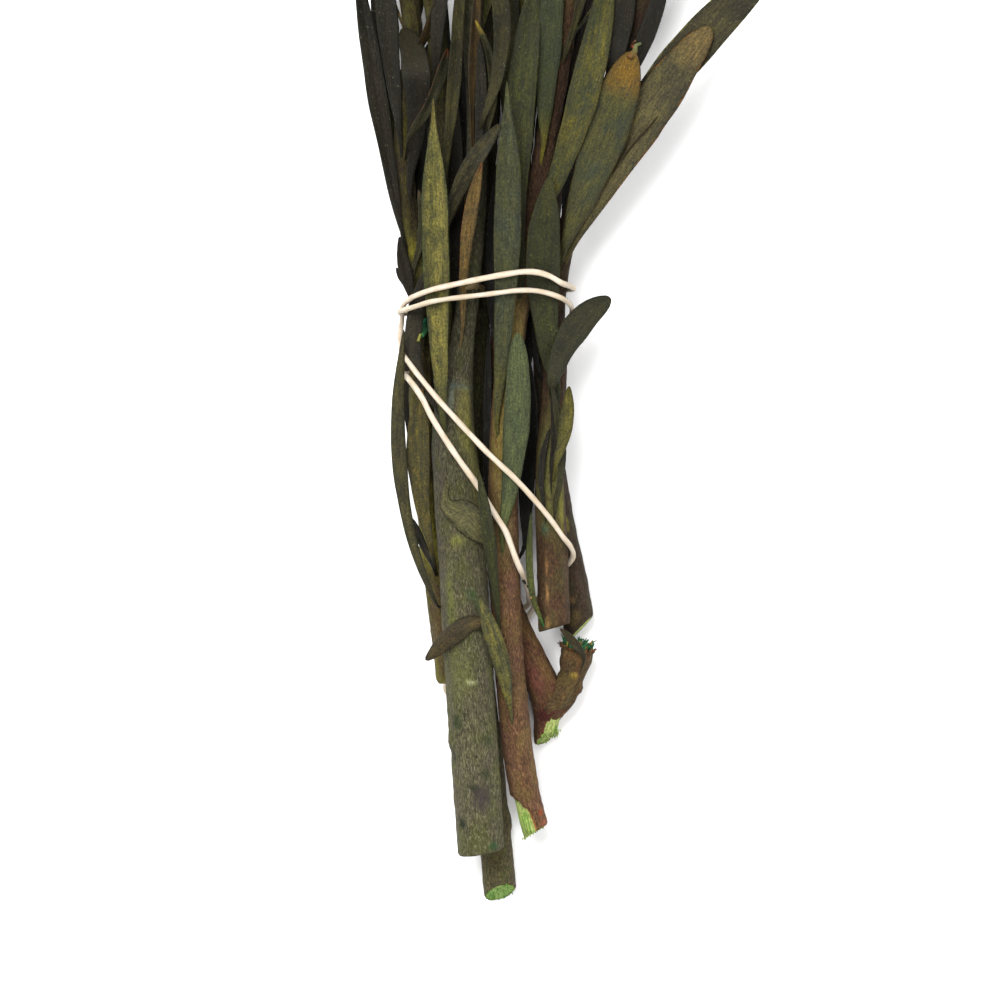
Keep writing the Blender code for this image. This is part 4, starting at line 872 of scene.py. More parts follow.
# How fine the shown meshes are, in millimetres or in points
BARK_RING = 1.5
BARK_RING_CUT = 0.6
BARK_RING_FAR = 3.2
CUT_ROWS = 5
BARK_SIDES = 48
PHOTO_TOP = 150.0
LEAF_STATION = 1.8
FREE_LEAF_STATION = 3.4
LEAF_BODY = 0.6
BRACT_STATION = 3.2
BRACT_PLACES = (0.0, 0.05, 0.12, 0.24, 0.42, 0.62, 0.82, 1.0)
BASE_SCALES = 9
SCALE_WIDTH = 7.4
SCALE_STATION = 1.6
BAND_TUBE_SIDES = 12
BAND_TUBE_STEP = 1.2
BAND_SHOWN_RADIUS = 0.72
STRAND_STEP = 0.5
LEAF_SPREAD = (-1.0, -0.9, -0.7, -0.42, -0.16, 0.0, 0.16, 0.42, 0.7, 0.9, 1.0)
TIP_TURNS = (0.005, 0.010, 0.014, 0.017, 0.0192, 0.0199)

# A blade as shown: how thin its edges are, its rib's width as a share of half the blade, how far the rib
# is sunk above and raised below, where the blade lets go of its stem, and how uneven it is
EDGE_THINNING = 0.86
RIB_WIDTH = 0.2
RIB_SUNK, RIB_RAISED = 0.07, 0.2
CLASP_FROM, CLASP_TO = 0.15, 0.5
DENTS = 0.22
EDGE_DENTS = 0.07

# Bark relief: how closely ridges, cracks and lumps lie round and along it, and how strong each is
RIDGES = (2.4, 0.05, 0.8)
CRACKS = (7.0, 0.2, 2.4)
LUMPS = (3.6, 0.4, 0.5)
CRACK_WIDTH = 0.14

# Bark as shown: its share of the solid's radius, how much painted shade darkens it towards the heads and
# between which places, over what length a slanted cut fades out, and how far and how much the cut's edge is
# rounded
BARK_SHARE = 0.965
BARK_PAINTED_SHADE = 0.66
PAINTED_SHADE_FROM, PAINTED_SHADE_TO = -90.0, 100.0
SLANT_LENGTH = 9.0
EDGE_LENGTH = 0.9
EDGE_ROUNDING = 0.3
CUT_RINGS = (0.94, 0.82, 0.66, 0.48, 0.28, 0.1)

# The cone as shown: points round it, and rings up it
CONE_POINTS = 30
CONE_RINGS = 26

# Matt leaves and bark: how much light they reflect, and how high their fine relief is in metres
MATT_SPECULAR = 0.14
LEAF_RELIEF = 0.00022
BARK_RELIEF = 0.0004

# Half the floor's width in metres, and how far it lies below the bunch
FLOOR_REACH = 1.6
FLOOR_DROP = 0.0004

# The camera above the middle of the photo: its lens and sensor in millimetres, then in metres the width
# that it sees, and at what height it sees that width
CAMERA_LENS = 200.0
SENSOR = 36.0
PHOTO_WIDTH = 0.26
CAMERA_PLANE = 0.018

# The surround's strength, where the lights aim, and each light's name, place, size and power.
# Places and sizes are in metres and powers in watts.
WORLD_STRENGTH = 0.85
LIGHT_AIM = Vector((0.0, -0.05, 0.0))
LIGHTS = (("key", (-0.35, 0.35, 1.1), 0.7, 24.0), ("fill", (0.7, -0.5, 1.0), 0.9, 7.0))


def srgb(code):
    """A linear colour from a hexadecimal one."""
    values = [int(code[i:i + 2], 16) / 255.0 for i in (0, 2, 4)]
    return tuple(v / 12.92 if v <= 0.04045 else ((v + 0.055) / 1.055) ** 2.4 for v in values)


# What the dye and the bright light do to every colour of the leaves and of the bark
LEAF_DYE = (1.0, 0.84, 0.58)
BARK_DYE = (1.02, 0.89, 0.8)
BIT_DYE = (0.78, 0.76, 0.7)

# Finishes of leaves: colours of the body, streaks, patches, tip, rim and stalk. Then how bright it is, which
# holds the leaf's own tone and painted shade, darkest for leaves deep among the overlapping stems, how strong
# the streaks and the tip are, where the tip starts, and how strong the rim and stalk are.
# Then the form: how far the edges rise, twist in degrees, how wavy it is, and how sharp its tip is.
FINISHES = {
    "charcoal": ("302F29 423E36 24231E 3E342A 4A4438 24231E",
        (0.26, 0.5, 0.3, 0.95, 0.25, 0.4), (0.16, 9, 0.4, 0.2)),
    # painted shade: near-black leaves that stand for the shadow deep in the bunch
    "deep": ("23241B 323323 181811 2A2A1E 3A3A28 181811",
        (0.12, 0.5, 0.2, 0.95, 0.4, 0.3), (0.1, 6, 0.3, 0.3)),
    "tan_strip": ("50442A 6C5A36 383122 6A4428 7A6238 3A3322",
        (0.3, 0.6, 0.4, 0.95, 0.3, 0.3), (0.25, 12, 0.5, 0.4)),
    "purple_round": ("38352F 444030 2A2824 48462C 5A4430 2C2822",
        (0.17, 0.4, 0.85, 0.62, 0.3, 0.4), (0.06, -6, 0.25, 0.0)),
    "orange_edge": ("383C2E 484A34 2C2F26 84482C 8E5228 30301F",
        (0.36, 0.5, 0.9, 0.93, 0.4, 0.3), (0.3, 14, 0.5, 0.2)),
    "olive_strip": ("47492C 64643A 2F3120 6A5A30 70703C 3A3A22",
        (0.3, 0.7, 0.4, 0.95, 0.4, 0.3), (0.2, 8, 0.4, 0.4)),
    "yellow_curl": ("3A3E28 5A5A32 292B1D 9A8E36 6A6A34 30301E",
        (0.42, 0.6, 1.0, 0.9, 0.4, 0.3), (0.35, 20, 0.8, 0.2)),
    "grey_far": ("3E3C31 585C3C 2D2C26 7A7E46 8A8E4A 38362A",
        (0.5, 0.5, 0.4, 0.9, 0.7, 0.3), (0.12, 4, 0.3, 0.0)),
    "grey_edge": ("484236 665C46 2C2924 7A6446 7A6A4A 3A342A",
        (0.4, 0.5, 0.6, 0.93, 0.5, 0.3), (0.45, 10, 0.5, 0.5)),
    "scuffed_grey": ("4A4936 5C5E40 3A3A31 6C6142 9E6A2E 4E5030",
        (0.56, 0.5, 0.75, 0.84, 0.6, 0.5), (0.1, -4, 0.25, 0.0)),
    "ochre_tip": ("4C5236 62663C 3C4A42 8A7026 6C5C26 46482C",
        (0.44, 0.55, 0.9, 0.8, 0.6, 0.5), (0.12, 5, 0.3, 0.1)),
    "yellow_streak": ("586042 7A7A2E 434F3C 66683A 74763A 6E702E",
        (0.34, 0.75, 0.3, 0.95, 0.5, 0.9), (0.14, 5, 0.3, 0.1)),
    "green_grey": ("414E36 4E5C3E 35422F 4A5232 66703A 74742A",
        (0.33, 0.5, 0.3, 0.95, 0.5, 1.0), (0.12, 3, 0.3, 0.1)),
    "speckled_dark": ("32342A 5A5A42 1D1E17 2A2A1E 4A4A34 1E1F18",
        (0.5, 0.8, 0.2, 0.95, 0.3, 0.3), (0.2, 8, 0.4, 0.0)),
    "blue_crease": ("48523C 5E6442 43514A 4A5438 6E7240 6A6C34",
        (0.46, 0.5, 0.4, 0.95, 0.5, 0.8), (0.3, 6, 0.3, 0.9)),
    "purple_dark": ("34332B 484838 292725 4A4438 5A5A44 2C2C22",
        (0.45, 0.4, 0.2, 0.95, 0.5, 0.4), (-0.1, 14, 0.5, 0.3)),
    "yellow_mottled": ("5A5F37 82824A 3C4428 6A6036 46664C 363E28",
        (0.52, 0.75, 0.6, 0.93, 0.6, 0.85), (0.2, 5, 0.3, 1.0)),
    "grey_green": ("3D4133 50543C 2F3228 5A4430 565A3E 38382A",
        (0.5, 0.5, 0.5, 0.93, 0.4, 0.3), (0.2, 8, 0.3, 0.2)),
    "tan_gold": ("685A37 807048 484230 8C5630 90632E 4A4428",
        (0.54, 0.6, 0.9, 0.93, 0.8, 0.4), (0.2, 8, 0.4, 0.3)),
    "blue_green": ("44523D 525F45 394839 4C5A40 586848 5A6636",
        (0.76, 0.5, 0.3, 0.93, 0.4, 0.5), (0.08, 3, 0.25, 0.0)),
    "callus_tip": ("55573A 827C3E 393F30 7A3E2E 8A7636 38352A",
        (0.36, 0.7, 1.0, 0.975, 0.5, 0.4), (0.1, 5, 0.35, 0.5)),
    "dark_green": ("3B4329 50582F 2D331F 5A5A34 626A34 333A22",
        (0.38, 0.6, 0.3, 0.93, 0.5, 0.3), (0.25, 10, 0.4, 0.4)),
    "dark_olive": ("3A3E28 4C5032 2A2D20 5A5030 5E5E34 30321F",
        (0.4, 0.5, 0.4, 0.95, 0.4, 0.3), (0.15, 8, 0.4, 0.2)),
    "yellow_green": ("585C2F 74743A 40442A 7A7A38 7E8040 4C4E28",
        (0.55, 0.6, 0.4, 0.93, 0.6, 0.3), (0.25, 8, 0.4, 0.4)),
    "brown_olive": ("393725 4E4A2E 2A281C 4A3626 5A5234 2E2C1F",
        (0.62, 0.5, 0.4, 0.93, 0.4, 0.3), (0.3, 10, 0.5, 0.2)),
    "long_olive": ("434530 56573B 34352A 5A5038 62624A 20211A",
        (0.5, 0.5, 0.4, 0.95, 0.3, 1.0), (-0.08, 6, 0.35, 0.4)),
    "bark_patch": ("464A37 585B45 383C2E 4A4C3A 5C5E48 40422F",
        (0.9, 0.6, 0.2, 0.95, 0.3, 0.4), (-0.22, 0, 0.25, 0.0)),
    "protruding": ("32352A 42462F 262820 3A3C2A 5E6038 34372A",
        (0.46, 0.5, 0.3, 0.95, 0.5, 0.3), (0.1, -8, 0.3, 0.0)),
    "brown_wrap": ("3F3A29 4E4830 2D2A20 34302A 54502F 413C2A",
        (0.68, 0.5, 0.8, 0.9, 0.4, 0.3), (-0.25, 10, 0.5, 0.3)),
    "moss_olive": ("4E543E 7C7C38 3A4034 50563E 60644A 454A34",
        (0.62, 0.5, 0.3, 0.95, 0.3, 0.3), (-0.1, 3, 0.3, 0.3)),
    "twig_green": ("445230 5A6236 344024 1F6B4F 56603A 2E7A44",
        (0.6, 0.6, 0.2, 0.95, 0.3, 1.0), (0.0, 0, 0.2, 0.3)),
    "free_0": ("434A32 5A6038 333A2A 7A5A2C 6C6A38 50522C",
        (0.62, 0.55, 0.6, 0.95, 0.6, 0.6), (0.2, 16, 0.4, 0.1)),
    "free_1": ("4A4C30 68683A 35382A 8A642A 76743C 5A5A2E",
        (0.66, 0.6, 0.8, 0.93, 0.7, 0.6), (0.08, -14, 0.5, 0.0)),
    "free_2": ("3C4434 4E563C 2E352B 6A5030 60643C 464A2C",
        (0.6, 0.5, 0.5, 0.95, 0.5, 0.6), (0.26, 20, 0.4, 0.2)),
    "free_3": ("48442F 5E5838 35322A 8C5C2C 7A6A3A 4E4A2C",
        (0.62, 0.55, 0.7, 0.94, 0.7, 0.6), (0.02, 10, 0.6, 0.1)),
    "free_4": ("3F4A38 515E44 313C31 74602E 666E40 505A30",
        (0.6, 0.5, 0.5, 0.95, 0.5, 0.6), (0.16, -18, 0.4, 0.0)),
    "scale": ("4C4E2E 6A6838 3E3E28 7A4C30 7E5230 4A4A2A",
        (0.7, 0.6, 0.8, 0.85, 0.6, 0.6), (-0.3, 0, 0.2, 0.2)),
    "bract": ("4A5030 6C7038 3C432C 8A4630 9A5232 565C30",
        (0.75, 0.6, 0.85, 0.9, 0.8, 0.5), (-0.3, 4, 0.35, 0.0)),
}
FREE_FINISHES = 5
NO_COLOUR = (0.0, 0.0, 0.0)

# Bark of each shoot: colours of its cracks, body, raised grain and two kinds of patches, and of the
# cut's middle and rim. Then how deep its ridges are, and how torn its cut is.
BARKS = {
    "stem_1": ("25261C 50523E 7E8066 434A28 48443E 5A663E 4E6A3C", 0.36, 0.3),
    "stem_1_left": ("33331F 545436 7C7A4C 66682F 44423A 5A663E 4A4A30", 0.3, 0.2),
    "stem_2": ("26261C 4C4A36 74704F 424A2A 48433A 5E9440 7FA03C", 0.3, 0.55),
    "stem_3": ("35261C 5C4733 8A6E50 5E5230 60483E 90A85C 8A5A34", 0.3, 0.6),
    "stem_4": ("2E211A 55402F 7C6446 5C4A2C 4C2C28 9AB068 5A3226", 0.42, 0.9),
    "stem_4_stub": ("2A2118 4A3E2A 6C6040 50492A 523422 1D4A34 5E3C22", 0.6, 1.1),
    "stem_5": ("2A2018 4A3A2B 6E5838 44432A 503C31 7A6A40 6A5A34", 0.3, 0.35),
    "stem_6": ("26211A 3C3428 584C3A 393A27 463A34 A8BC70 86925A", 0.32, 0.5),
    "stem_7": ("2F2C1E 4C482E 74703C 65672D 4A3C30 6E7A4A 4A4A30", 0.4, 0.3),
}

# Where bark is torn off at a lower cut: the tear's middle angle, the cosine of its half angle at the
# cut, how far up it runs, and how deep it is
TEARS = {"stem_3": (math.pi, -0.16, 10.4, 1.1), "stem_4": (0.4, -0.1, 5.4, 1.2)}

# Marks on each shoot's bark seen from above: x, y, half length, half width, colour and strength
MARKS = {
    "stem_1": [
        (-10, 29.9, 1.2, 4.4, "3A4A4A", 0.5), (-13, 26, 3.2, 1, "6E7C74", 0.5),
        (-1.6, -89.8, 1.2, 1.6, "24482A", 0.6), (-7.5, -46.8, 0.6, 1.2, "98A080", 0.6),
        (-12.6, -66.6, 1.8, 1.3, "20221A", 1), (-6.9, -73.3, 1.2, 1.4, "20281A", 0.85),
        (-10.1, -83.6, 1.3, 1.3, "1A2618", 1), (-3.7, -70.5, 1.6, 1.6, "242E1C", 0.7),
        (-2.9, -62.7, 1.8, 1.4, "2A381C", 0.8), (-11.3, -57.1, 2, 1.8, "26341A", 0.9),
        (-4.6, -76.4, 3.6, 2.6, "3A3836", 0.85), (-11.3, -11.1, 1.6, 2, "6A7434", 0.55),
        (-7.3, -23.9, 1.6, 1.6, "2C4A26", 0.5), (-5, -27.5, 1.6, 1.6, "2E5030", 0.5),
        (-12.8, -28, 10, 1.2, "5E6A30", 0.45), (-6.4, 8, 14, 2.2, "5A5E30", 0.45),
        (-9, 20, 9, 2.4, "6A6C38", 0.5), (-10.6, -44, 7, 3, "586232", 0.4)],
    "stem_2": [
        (-1, -92, 6, 2.2, "4E4A2C", 0.4)],
    "stem_3": [
        (10.9, -82.2, 1, 0.8, "8E4E30", 0.8), (10.9, -82.2, 0.4, 0.4, "4A3020", 0.9),
        (12.2, -85, 1.1, 1.6, "8A5440", 0.55), (3.4, -45, 8, 1.1, "70604A", 0.4),
        (1, -6, 10, 3, "60583A", 0.7), (1.4, 14, 14, 4.6, "6A6234", 0.95),
        (2, 38, 14, 4.6, "645C34", 0.95)],
    "stem_4": [
        (12.2, -56, 3.6, 3.6, "40201C", 0.8), (8.6, -46, 5, 2.4, "5A3630", 0.5)],
    "stem_4_stub": [
        (20, -41, 1.2, 6, "5A4428", 0.4), (17.6, -46.4, 2, 3.4, "4A4424", 0.5),
        (19.6, -45.6, 0.7, 1.2, "8A7A34", 0.6)],
    "stem_5": [
        (12.2, -24.6, 2.4, 0.5, "8E7448", 0.6), (12, -17, 2.4, 0.5, "8A7044", 0.5),
        (12.4, -31.6, 1.6, 0.7, "80683E", 0.5), (11.6, -7.8, 1.4, 1.2, "2A4A40", 0.6),
        (13, 8, 15, 5, "50542F", 0.9), (16, 2, 10, 1, "73762E", 0.7)],
    "stem_6": [
        (18.7, -25.7, 0.9, 0.9, "705A3C", 0.6), (17.2, -5.5, 2, 0.7, "8E8E38", 0.8),
        (19.6, -31, 2, 1.6, "5E5634", 0.5)],
    "stem_7": [
        (-19.2, -10, 9, 3.6, "72742E", 0.8), (-20, 2, 5, 3, "66682C", 0.7),
        (-15.4, -30, 8, 2.4, "4A3E2C", 0.6), (-23, 66, 3, 1.6, "74742A", 0.6)],
}

# Raised scars and knots on each shoot's bark: x, y, half length, half width and height
SCARS = {
    "stem_1": [
        (-1.8, -89.6, 1.6, 2, 0.6), (-7.6, -46.6, 1.2, 1.5, 0.45), (-13.2, -65.4, 1, 1.6, -1.2),
        (-13.8, -62.8, 1.6, 1.6, 0.7), (-5, -55, 1, 1.8, 0.3), (-13.2, -30, 1.4, 1.6, 0.4),
        (-6.4, -17, 1.2, 2.2, 0.35), (-14.6, 2, 2, 1.8, 0.6), (-10.4, 17, 2.4, 3.4, 0.5),
        (-9, -74, 1.2, 1.8, 0.3)],
    "stem_2": [
        (3.4, -84, 2.2, 1.5, 0.9), (-2.4, -99, 1, 1.2, 0.3)],
    "stem_3": [
        (10.9, -82.2, 0.9, 1, 0.4), (4.4, -66, 1.5, 1.6, 0.4), (3.6, -53, 1.4, 1.8, 0.4),
        (0.4, -36, 1.6, 1.6, 0.5), (3.4, -20, 1.2, 1.6, 0.4), (-0.6, -4, 1.4, 1.4, 0.4)],
    "stem_4": [
        (9.4, -47, 2.4, 3.4, 0.7), (15.2, -55, 2, 2.4, 0.8), (5.6, -36, 2.4, 1.8, 0.5)],
    "stem_4_stub": [
        (21.6, -49.4, 1, 1.2, 1.1), (16.6, -50.4, 2.4, 2.6, 0.6), (17.6, -46, 1.2, 1.6, 0.4)],
    "stem_5": [
        (11.6, -7.8, 1.2, 1.4, 0.45), (15.2, -19, 1.4, 1.6, 0.35), (13.2, 4, 1.2, 1.8, 0.4)],
    "stem_6": [
        (18.7, -25.7, 1.3, 1.5, 0.6), (17.2, -5.5, 1.2, 1.4, 0.5)],
    "stem_7": [
        (-20.6, -14, 2.6, 2.2, 0.9), (-19, -4, 2.2, 1.8, 0.8), (-16, -36, 1.6, 1.6, 0.5)],
}


# Torn fibres at a cut: shoot, count, colours, lengths, the ring of the cut that they stand on in
# shares of its radius, how far they splay out, and how thick they are. The stub's are at its upper end.
LIME = "84A64A 96B05A A8B870 6C9240"
CUT_FIBRES = [
    ("stem_2", 60, "649A3C 528634 88AA54 3F7A28", (0.3, 1.0), (0.0, 0.93), 0.3, 0.16),
    ("stem_3", 60, LIME, (0.2, 0.8), (0.1, 0.97), 0.3, 0.17),
    ("stem_4", 70, LIME, (0.3, 1.1), (0.0, 0.95), 0.2, 0.2),
    ("stem_4_stub", 90, "5A3A22 7A4C28 6A4A30 3C281A 4E4228", (0.5, 1.7), (0.85, 1.06), 0.9, 0.3),
    ("stem_4_stub", 150, "1C5A3E 24683E 143F2C 2E703C 233C28", (1.2, 3.8), (0.0, 0.9), 0.35, 0.36),
    ("stem_4_stub", 12, "96702C 8A8030", (2.0, 3.4), (0.3, 0.9), 0.3, 0.34),
]

# How many fibres lie along the wood that each tear lays bare
TEAR_FIBRES = {"stem_3": 44, "stem_4": 40}

# Small strands on the front of the bunch: node, then x, y, height above what is there, and radius
# along it, then its colours at both ends. A horn, its hook, a bud, a stub, a curl and two twigs.
TOP_STRANDS = [
    ("stem_5", [(33.4, 114.6, 0.6, 0.8), (34.8, 116, 1.2, 0.8), (35.2, 117.6, 1.4, 0.6),
                (36.4, 118.2, 1.2, 0.35)], "6A4A22 5A6A42"),
    ("stem_5", [(34.6, 117.2, 1.3, 0.4), (34.2, 118, 1.4, 0.4), (35, 118.8, 1.1, 0.25)],
     "7A3A28 6A4A30"),
    ("stem_7", [(-20.2, 42.6, -0.2, 0.6), (-19.8, 45, 0.5, 1.25), (-19.4, 47.4, 0.2, 0.5)],
     "2A6A3A 1F6B4F"),
    ("stem_7", [(-21.2, 41, 0, 0.5), (-20.6, 43, 0.3, 0.3)], "6A6A30 8A8A3E"),
    ("stem_1", [(-9, 54.6, 0.1, 0.4), (-6.6, 55.4, 0.7, 0.9), (-4, 55, 0.8, 0.8),
                (-1.8, 54.2, 0.3, 0.4)], "6A5A3C 574A30"),
    ("stem_5", [(6, -20.8, 0.1, 0.4), (7.4, -22.6, 0, 0.35), (8.6, -24.4, 0, 0.3)],
     "26281E 2E2A1E"),
    ("stem_5", [(8, -25.4, 0.2, 0.3), (9.6, -25.8, 0.4, 0.3), (10.8, -25.6, 0.3, 0.12)],
     "8A6A3A A07C46"),
]


def dyed(code, dye, shade=1.0):
    """A colour as the dye leaves it."""
    return tuple(value * part * shade for value, part in zip(srgb(code), dye))


class Surface:
    """A mesh in the making: its points, faces and the named values that its material reads."""

    def __init__(self):
        self.verts = []
        self.faces = []
        self.values = {}

    def add(self, verts, faces, values):
        """Add one form and the values at its points."""
        start = len(self.verts)
        self.verts.extend(verts)
        self.faces.extend(tuple(start + i for i in face) for face in faces)
        for name, items in values.items():
            self.values.setdefault(name, []).extend(items)

    def finish(self, name, material, node, slot):
        """Make the mesh a piece that rides with the bunch and stands for a node."""
        mesh = bpy.data.meshes.new(name)
        mesh.from_pydata([((v.x - CENTRE_X) * MM, (v.y - CENTRE_Y) * MM, max(0.0, v.z) * MM)
                          for v in self.verts], [], self.faces)
        for label, items in self.values.items():
            if isinstance(items[0], float):
                layer = mesh.attributes.new(label, "FLOAT", "POINT")
                layer.data.foreach_set("value", items)
            elif label == "place":
                layer = mesh.attributes.new(label, "FLOAT_VECTOR", "POINT")
                layer.data.foreach_set("vector", [v for item in items for v in item])
            else:
                layer = mesh.attributes.new(label, "FLOAT_COLOR", "POINT")
                layer.data.foreach_set("color", [v for item in items for v in (*item[:3], 1.0)])
        work = bmesh.new()
        work.from_mesh(mesh)
        bmesh.ops.recalc_face_normals(work, faces=work.faces)
        work.to_mesh(mesh)
        work.free()
        mesh.materials.append(material)
        mesh.shade_smooth()
        piece = link_new(name, mesh)
        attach(piece, "root")
        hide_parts(node)


def link_new(name, data):
    """A new object in the scene."""
    item = bpy.data.objects.new(name, data)
    bpy.context.scene.collection.objects.link(item)
    return item


def lerp_colour(a, b, share):
    """A colour between two colours."""
    return tuple(x + (y - x) * share for x, y in zip(a, b))


def smooth_step(value, low, high):
    """A smooth rise from 0 at low to 1 at high."""
    share = min(1.0, max(0.0, (value - low) / (high - low)))
    return share * share * (3.0 - 2.0 * share)


def blade_rows(points, normals, step):
    """A blade's line and normals resampled finely, with the share of its length, and turned in at its tip."""
    last = len(points) - 1
    rows = [list(p) + list(n) + [i / last] for i, (p, n) in enumerate(zip(points, normals))]
    fine = smooth_rows(rows, step)
    end = Vector(fine[-1][:3])
    way = (end - Vector(fine[-2][:3])).normalized()
    span = sum(math.dist(a, b) for a, b in zip(points, points[1:]))
    normal = fine[-1][3:6]
    for extra in TIP_TURNS:
        fine.append(list(end + way * span * extra) + normal + [1.0 + extra])
    return fine


def fine_blade(surface, points, normals, width, profile, body, step, finish, chance, stem_radius):
    """One thin blade: rib, cup, twist, waved edges and a base that clasps its stem."""
    codes, (bright, *shares), (cup, twist, wave, sharp) = finish
    rows = blade_rows(points, normals, step)
    lines = [Vector(row[:3]) for row in rows]
    ways = tangents(lines)
    span = sum(math.dist(a, b) for a, b in zip(lines, lines[1:]))
    base_share = 0.5 if profile is leaf_tip_profile else 1.0
    # painted shade: the finish's brightness is lowest for leaves that lie deep among the overlapping stems
    shade = bright * chance.uniform(0.86, 1.14)
    colours = [dyed(code, LEAF_DYE, shade) for code in codes.split()]
    phase = chance.uniform(0.0, 6.28)
    waves = chance.uniform(1.4, 2.6)
    seed = chance.uniform(0.0, 90.0)
    cup += chance.uniform(-0.05, 0.05)
    turn = math.radians(twist) * chance.uniform(0.5, 1.2)
    inner = LEAF_SPREAD[1:-1]
    verts, along, across, place = [], [], [], []
    for point, way, row in zip(lines, ways, rows):
        t = row[6]
        normal = Matrix.Rotation(turn * smooth_step(t, 0.25, 1.0), 3, way) @ Vector(row[3:6])
        side = way.cross(normal).normalized()
        face = side.cross(way).normalized()
        half = 0.5 * width * profile(t) * (base_share + (1.0 - base_share) * smooth_step(t, 0.1, 0.36))
        half *= 1.0 - sharp * 0.75 * smooth_step(t, 0.8, 1.02)
        clasp = 1.0 - smooth_step(t, CLASP_FROM, CLASP_TO)
        ripple = wave * min(1.0, 3.0 * t) * (1.0 - 0.6 * t)
        for s, upper in [(s, True) for s in LEAF_SPREAD] + [(s, False) for s in reversed(inner)]:
            thick = 0.5 * body * math.sqrt(1.0 - EDGE_THINNING * s * s) * min(1.0, 0.25 + half / 1.4)
            rib = math.exp(-(s / RIB_WIDTH) ** 2)
            height = half * cup * (1.0 - clasp) * abs(s) ** 1.6
            height -= clasp * (s * half) ** 2 / (2.0 * stem_radius)
            height += ripple * s * s * math.sin(waves * 6.28 * t + phase + 1.4 * s)
            height += DENTS * wave * noise.noise(Vector((seed, s * 1.8, t * span * 0.16)))
            if abs(s) < 1.0:
                height += thick - RIB_SUNK * rib if upper else -thick - RIB_RAISED * rib
            edge = 1.0 + EDGE_DENTS * noise.noise(Vector((seed + 7.0, s, t * span * 0.12))) * abs(s)
            verts.append(point + side * half * s * edge + face * height)
            along.append(float(t))
            across.append(float(s))
            place.append((s * half, t * span, seed))
    count = len(verts)
    values = {"along": along, "across": across, "place": place,
              "amounts": [(shares[0], shares[1], shares[3])] * count,
              "tip_start": [shares[2]] * count, "stalk_share": [shares[4]] * count}
    for name, colour in zip(("body", "streak", "patch", "tip", "rim", "stalk"), colours):
        values[name] = [colour] * count
    surface.add(verts, ring_quads(len(rows), 2 * len(LEAF_SPREAD) - 2), values)


def bark_root(leaf, lines):
    """A leaf's root moved from the middle of its stem to just under the bark, and the stem's radius."""
    root, base = leaf.points[:2]
    best = None
    for line in lines:
        for i, row in enumerate(line[:-1]):
            apart = (Vector(row[:3]) - root).length
            if best is None or apart < best[0]:
                best = (apart, row[3], Vector(line[i + 1][:3]) - Vector(row[:3]))
    radius, way = best[1], best[2].normalized()
    out = (base - root) - way * (base - root).dot(way)
    if out.length < 0.5:
        return root, radius
    return root + out.normalized() * (radius - 0.5), radius


def fine_leaf(surface, leaf, lines, chance):
    """A laid leaf as a fine blade."""
    points, step = list(leaf.points), FREE_LEAF_STATION
    root, radius = bark_root(leaf, lines)
    if not leaf.finish.startswith("free"):
        points[0], step = root, LEAF_STATION
    fine_blade(surface, points, leaf.normals, leaf.width, leaf_tip_profile, LEAF_BODY, step,
               FINISHES[leaf.finish], chance, radius)


def leaf_tip_profile(t):
    """The part's leaf profile, closed in a round tip past its end."""
    if t <= 1.0:
        return leaf_profile(t)
    left = max(0.0, (1.0199 - t) / 0.0199)
    return leaf_profile(1.0) * math.sqrt(left) + 0.004


def bract_tip_profile(t):
    """The part's bract profile, closed in a short point past its end."""
    if t <= 1.0:
        return bract_profile(t)
    return bract_profile(1.0) * max(0.0, (1.02 - t) / 0.02) + 0.004


def nearest_angle(line, x, y):
    """Where a mark on the upper side of a shoot lies: its index along, and its angle round."""
    index = nearest_row(line, x, y)
    share = max(-0.98, min(0.98, (x - line[index][0]) / line[index][3]))
    return index, math.acos(share)


def shoot_frames(line):
    """Along a shoot's fine line: the point, its directions, and the distance so far."""
    points = [Vector(row[:3]) for row in line]
    frames = []
    distance = 0.0
    for i, (point, way) in enumerate(zip(points, tangents(points))):
        if i:
            distance += (point - points[i - 1]).length
        frames.append((point, way, *side_ways(way), distance))
    return frames


def bark_depth(angle, distance, depth, seed):
    """How far the bark stands out at a place: long ridges, cracks and small lumps."""
    out = Vector((math.cos(angle), math.sin(angle), 0.0))
    ridge = noise.noise(out * RIDGES[0] + Vector((seed, 0.0, distance * RIDGES[1])))
    crack = abs(noise.noise(out * CRACKS[0] + Vector((0.0, seed, distance * CRACKS[1]))))
    lump = noise.noise(out * LUMPS[0] + Vector((seed, seed, distance * LUMPS[1])))
    return depth * (RIDGES[2] * ridge - CRACKS[2] * max(0.0, CRACK_WIDTH - crack) + LUMPS[2] * lump)


def tear_reach(share, along):
    """Half the angle that a tear takes at a share of its length."""
    return math.acos(min(1.0, share + (1.0 - share) * max(0.0, along) ** 3))


def torn_away(name, angle, distance, seed):
    """How much of the bark is torn off at a place near the lower cut."""
    if name not in TEARS:
        return 0.0
    middle, share, length, _ = TEARS[name]
    ragged = 1.6 * noise.noise(Vector((math.cos(angle) * 2.2, math.sin(angle) * 2.2, distance * 0.5 + seed)))
    upward = (distance + ragged) / length
    if upward > 1.0:
        return 0.0
    apart = abs(math.atan2(math.sin(angle - middle), math.cos(angle - middle)))
    return smooth_step(tear_reach(share, upward) - apart, -0.06, 0.1)


def near_spots(spots, frames, angle, distance, radius, limit):
    """The spots that reach a place of the bark, each with its squared distance in spot sizes."""
    found = []
    for index, middle, length, width, *rest in spots:
        apart = math.atan2(math.sin(angle - middle), math.cos(angle - middle)) * radius
        reach = (apart / width) ** 2 + ((distance - frames[index][4]) / length) ** 2
        if reach < limit:
            found.append((reach, rest))
    return found


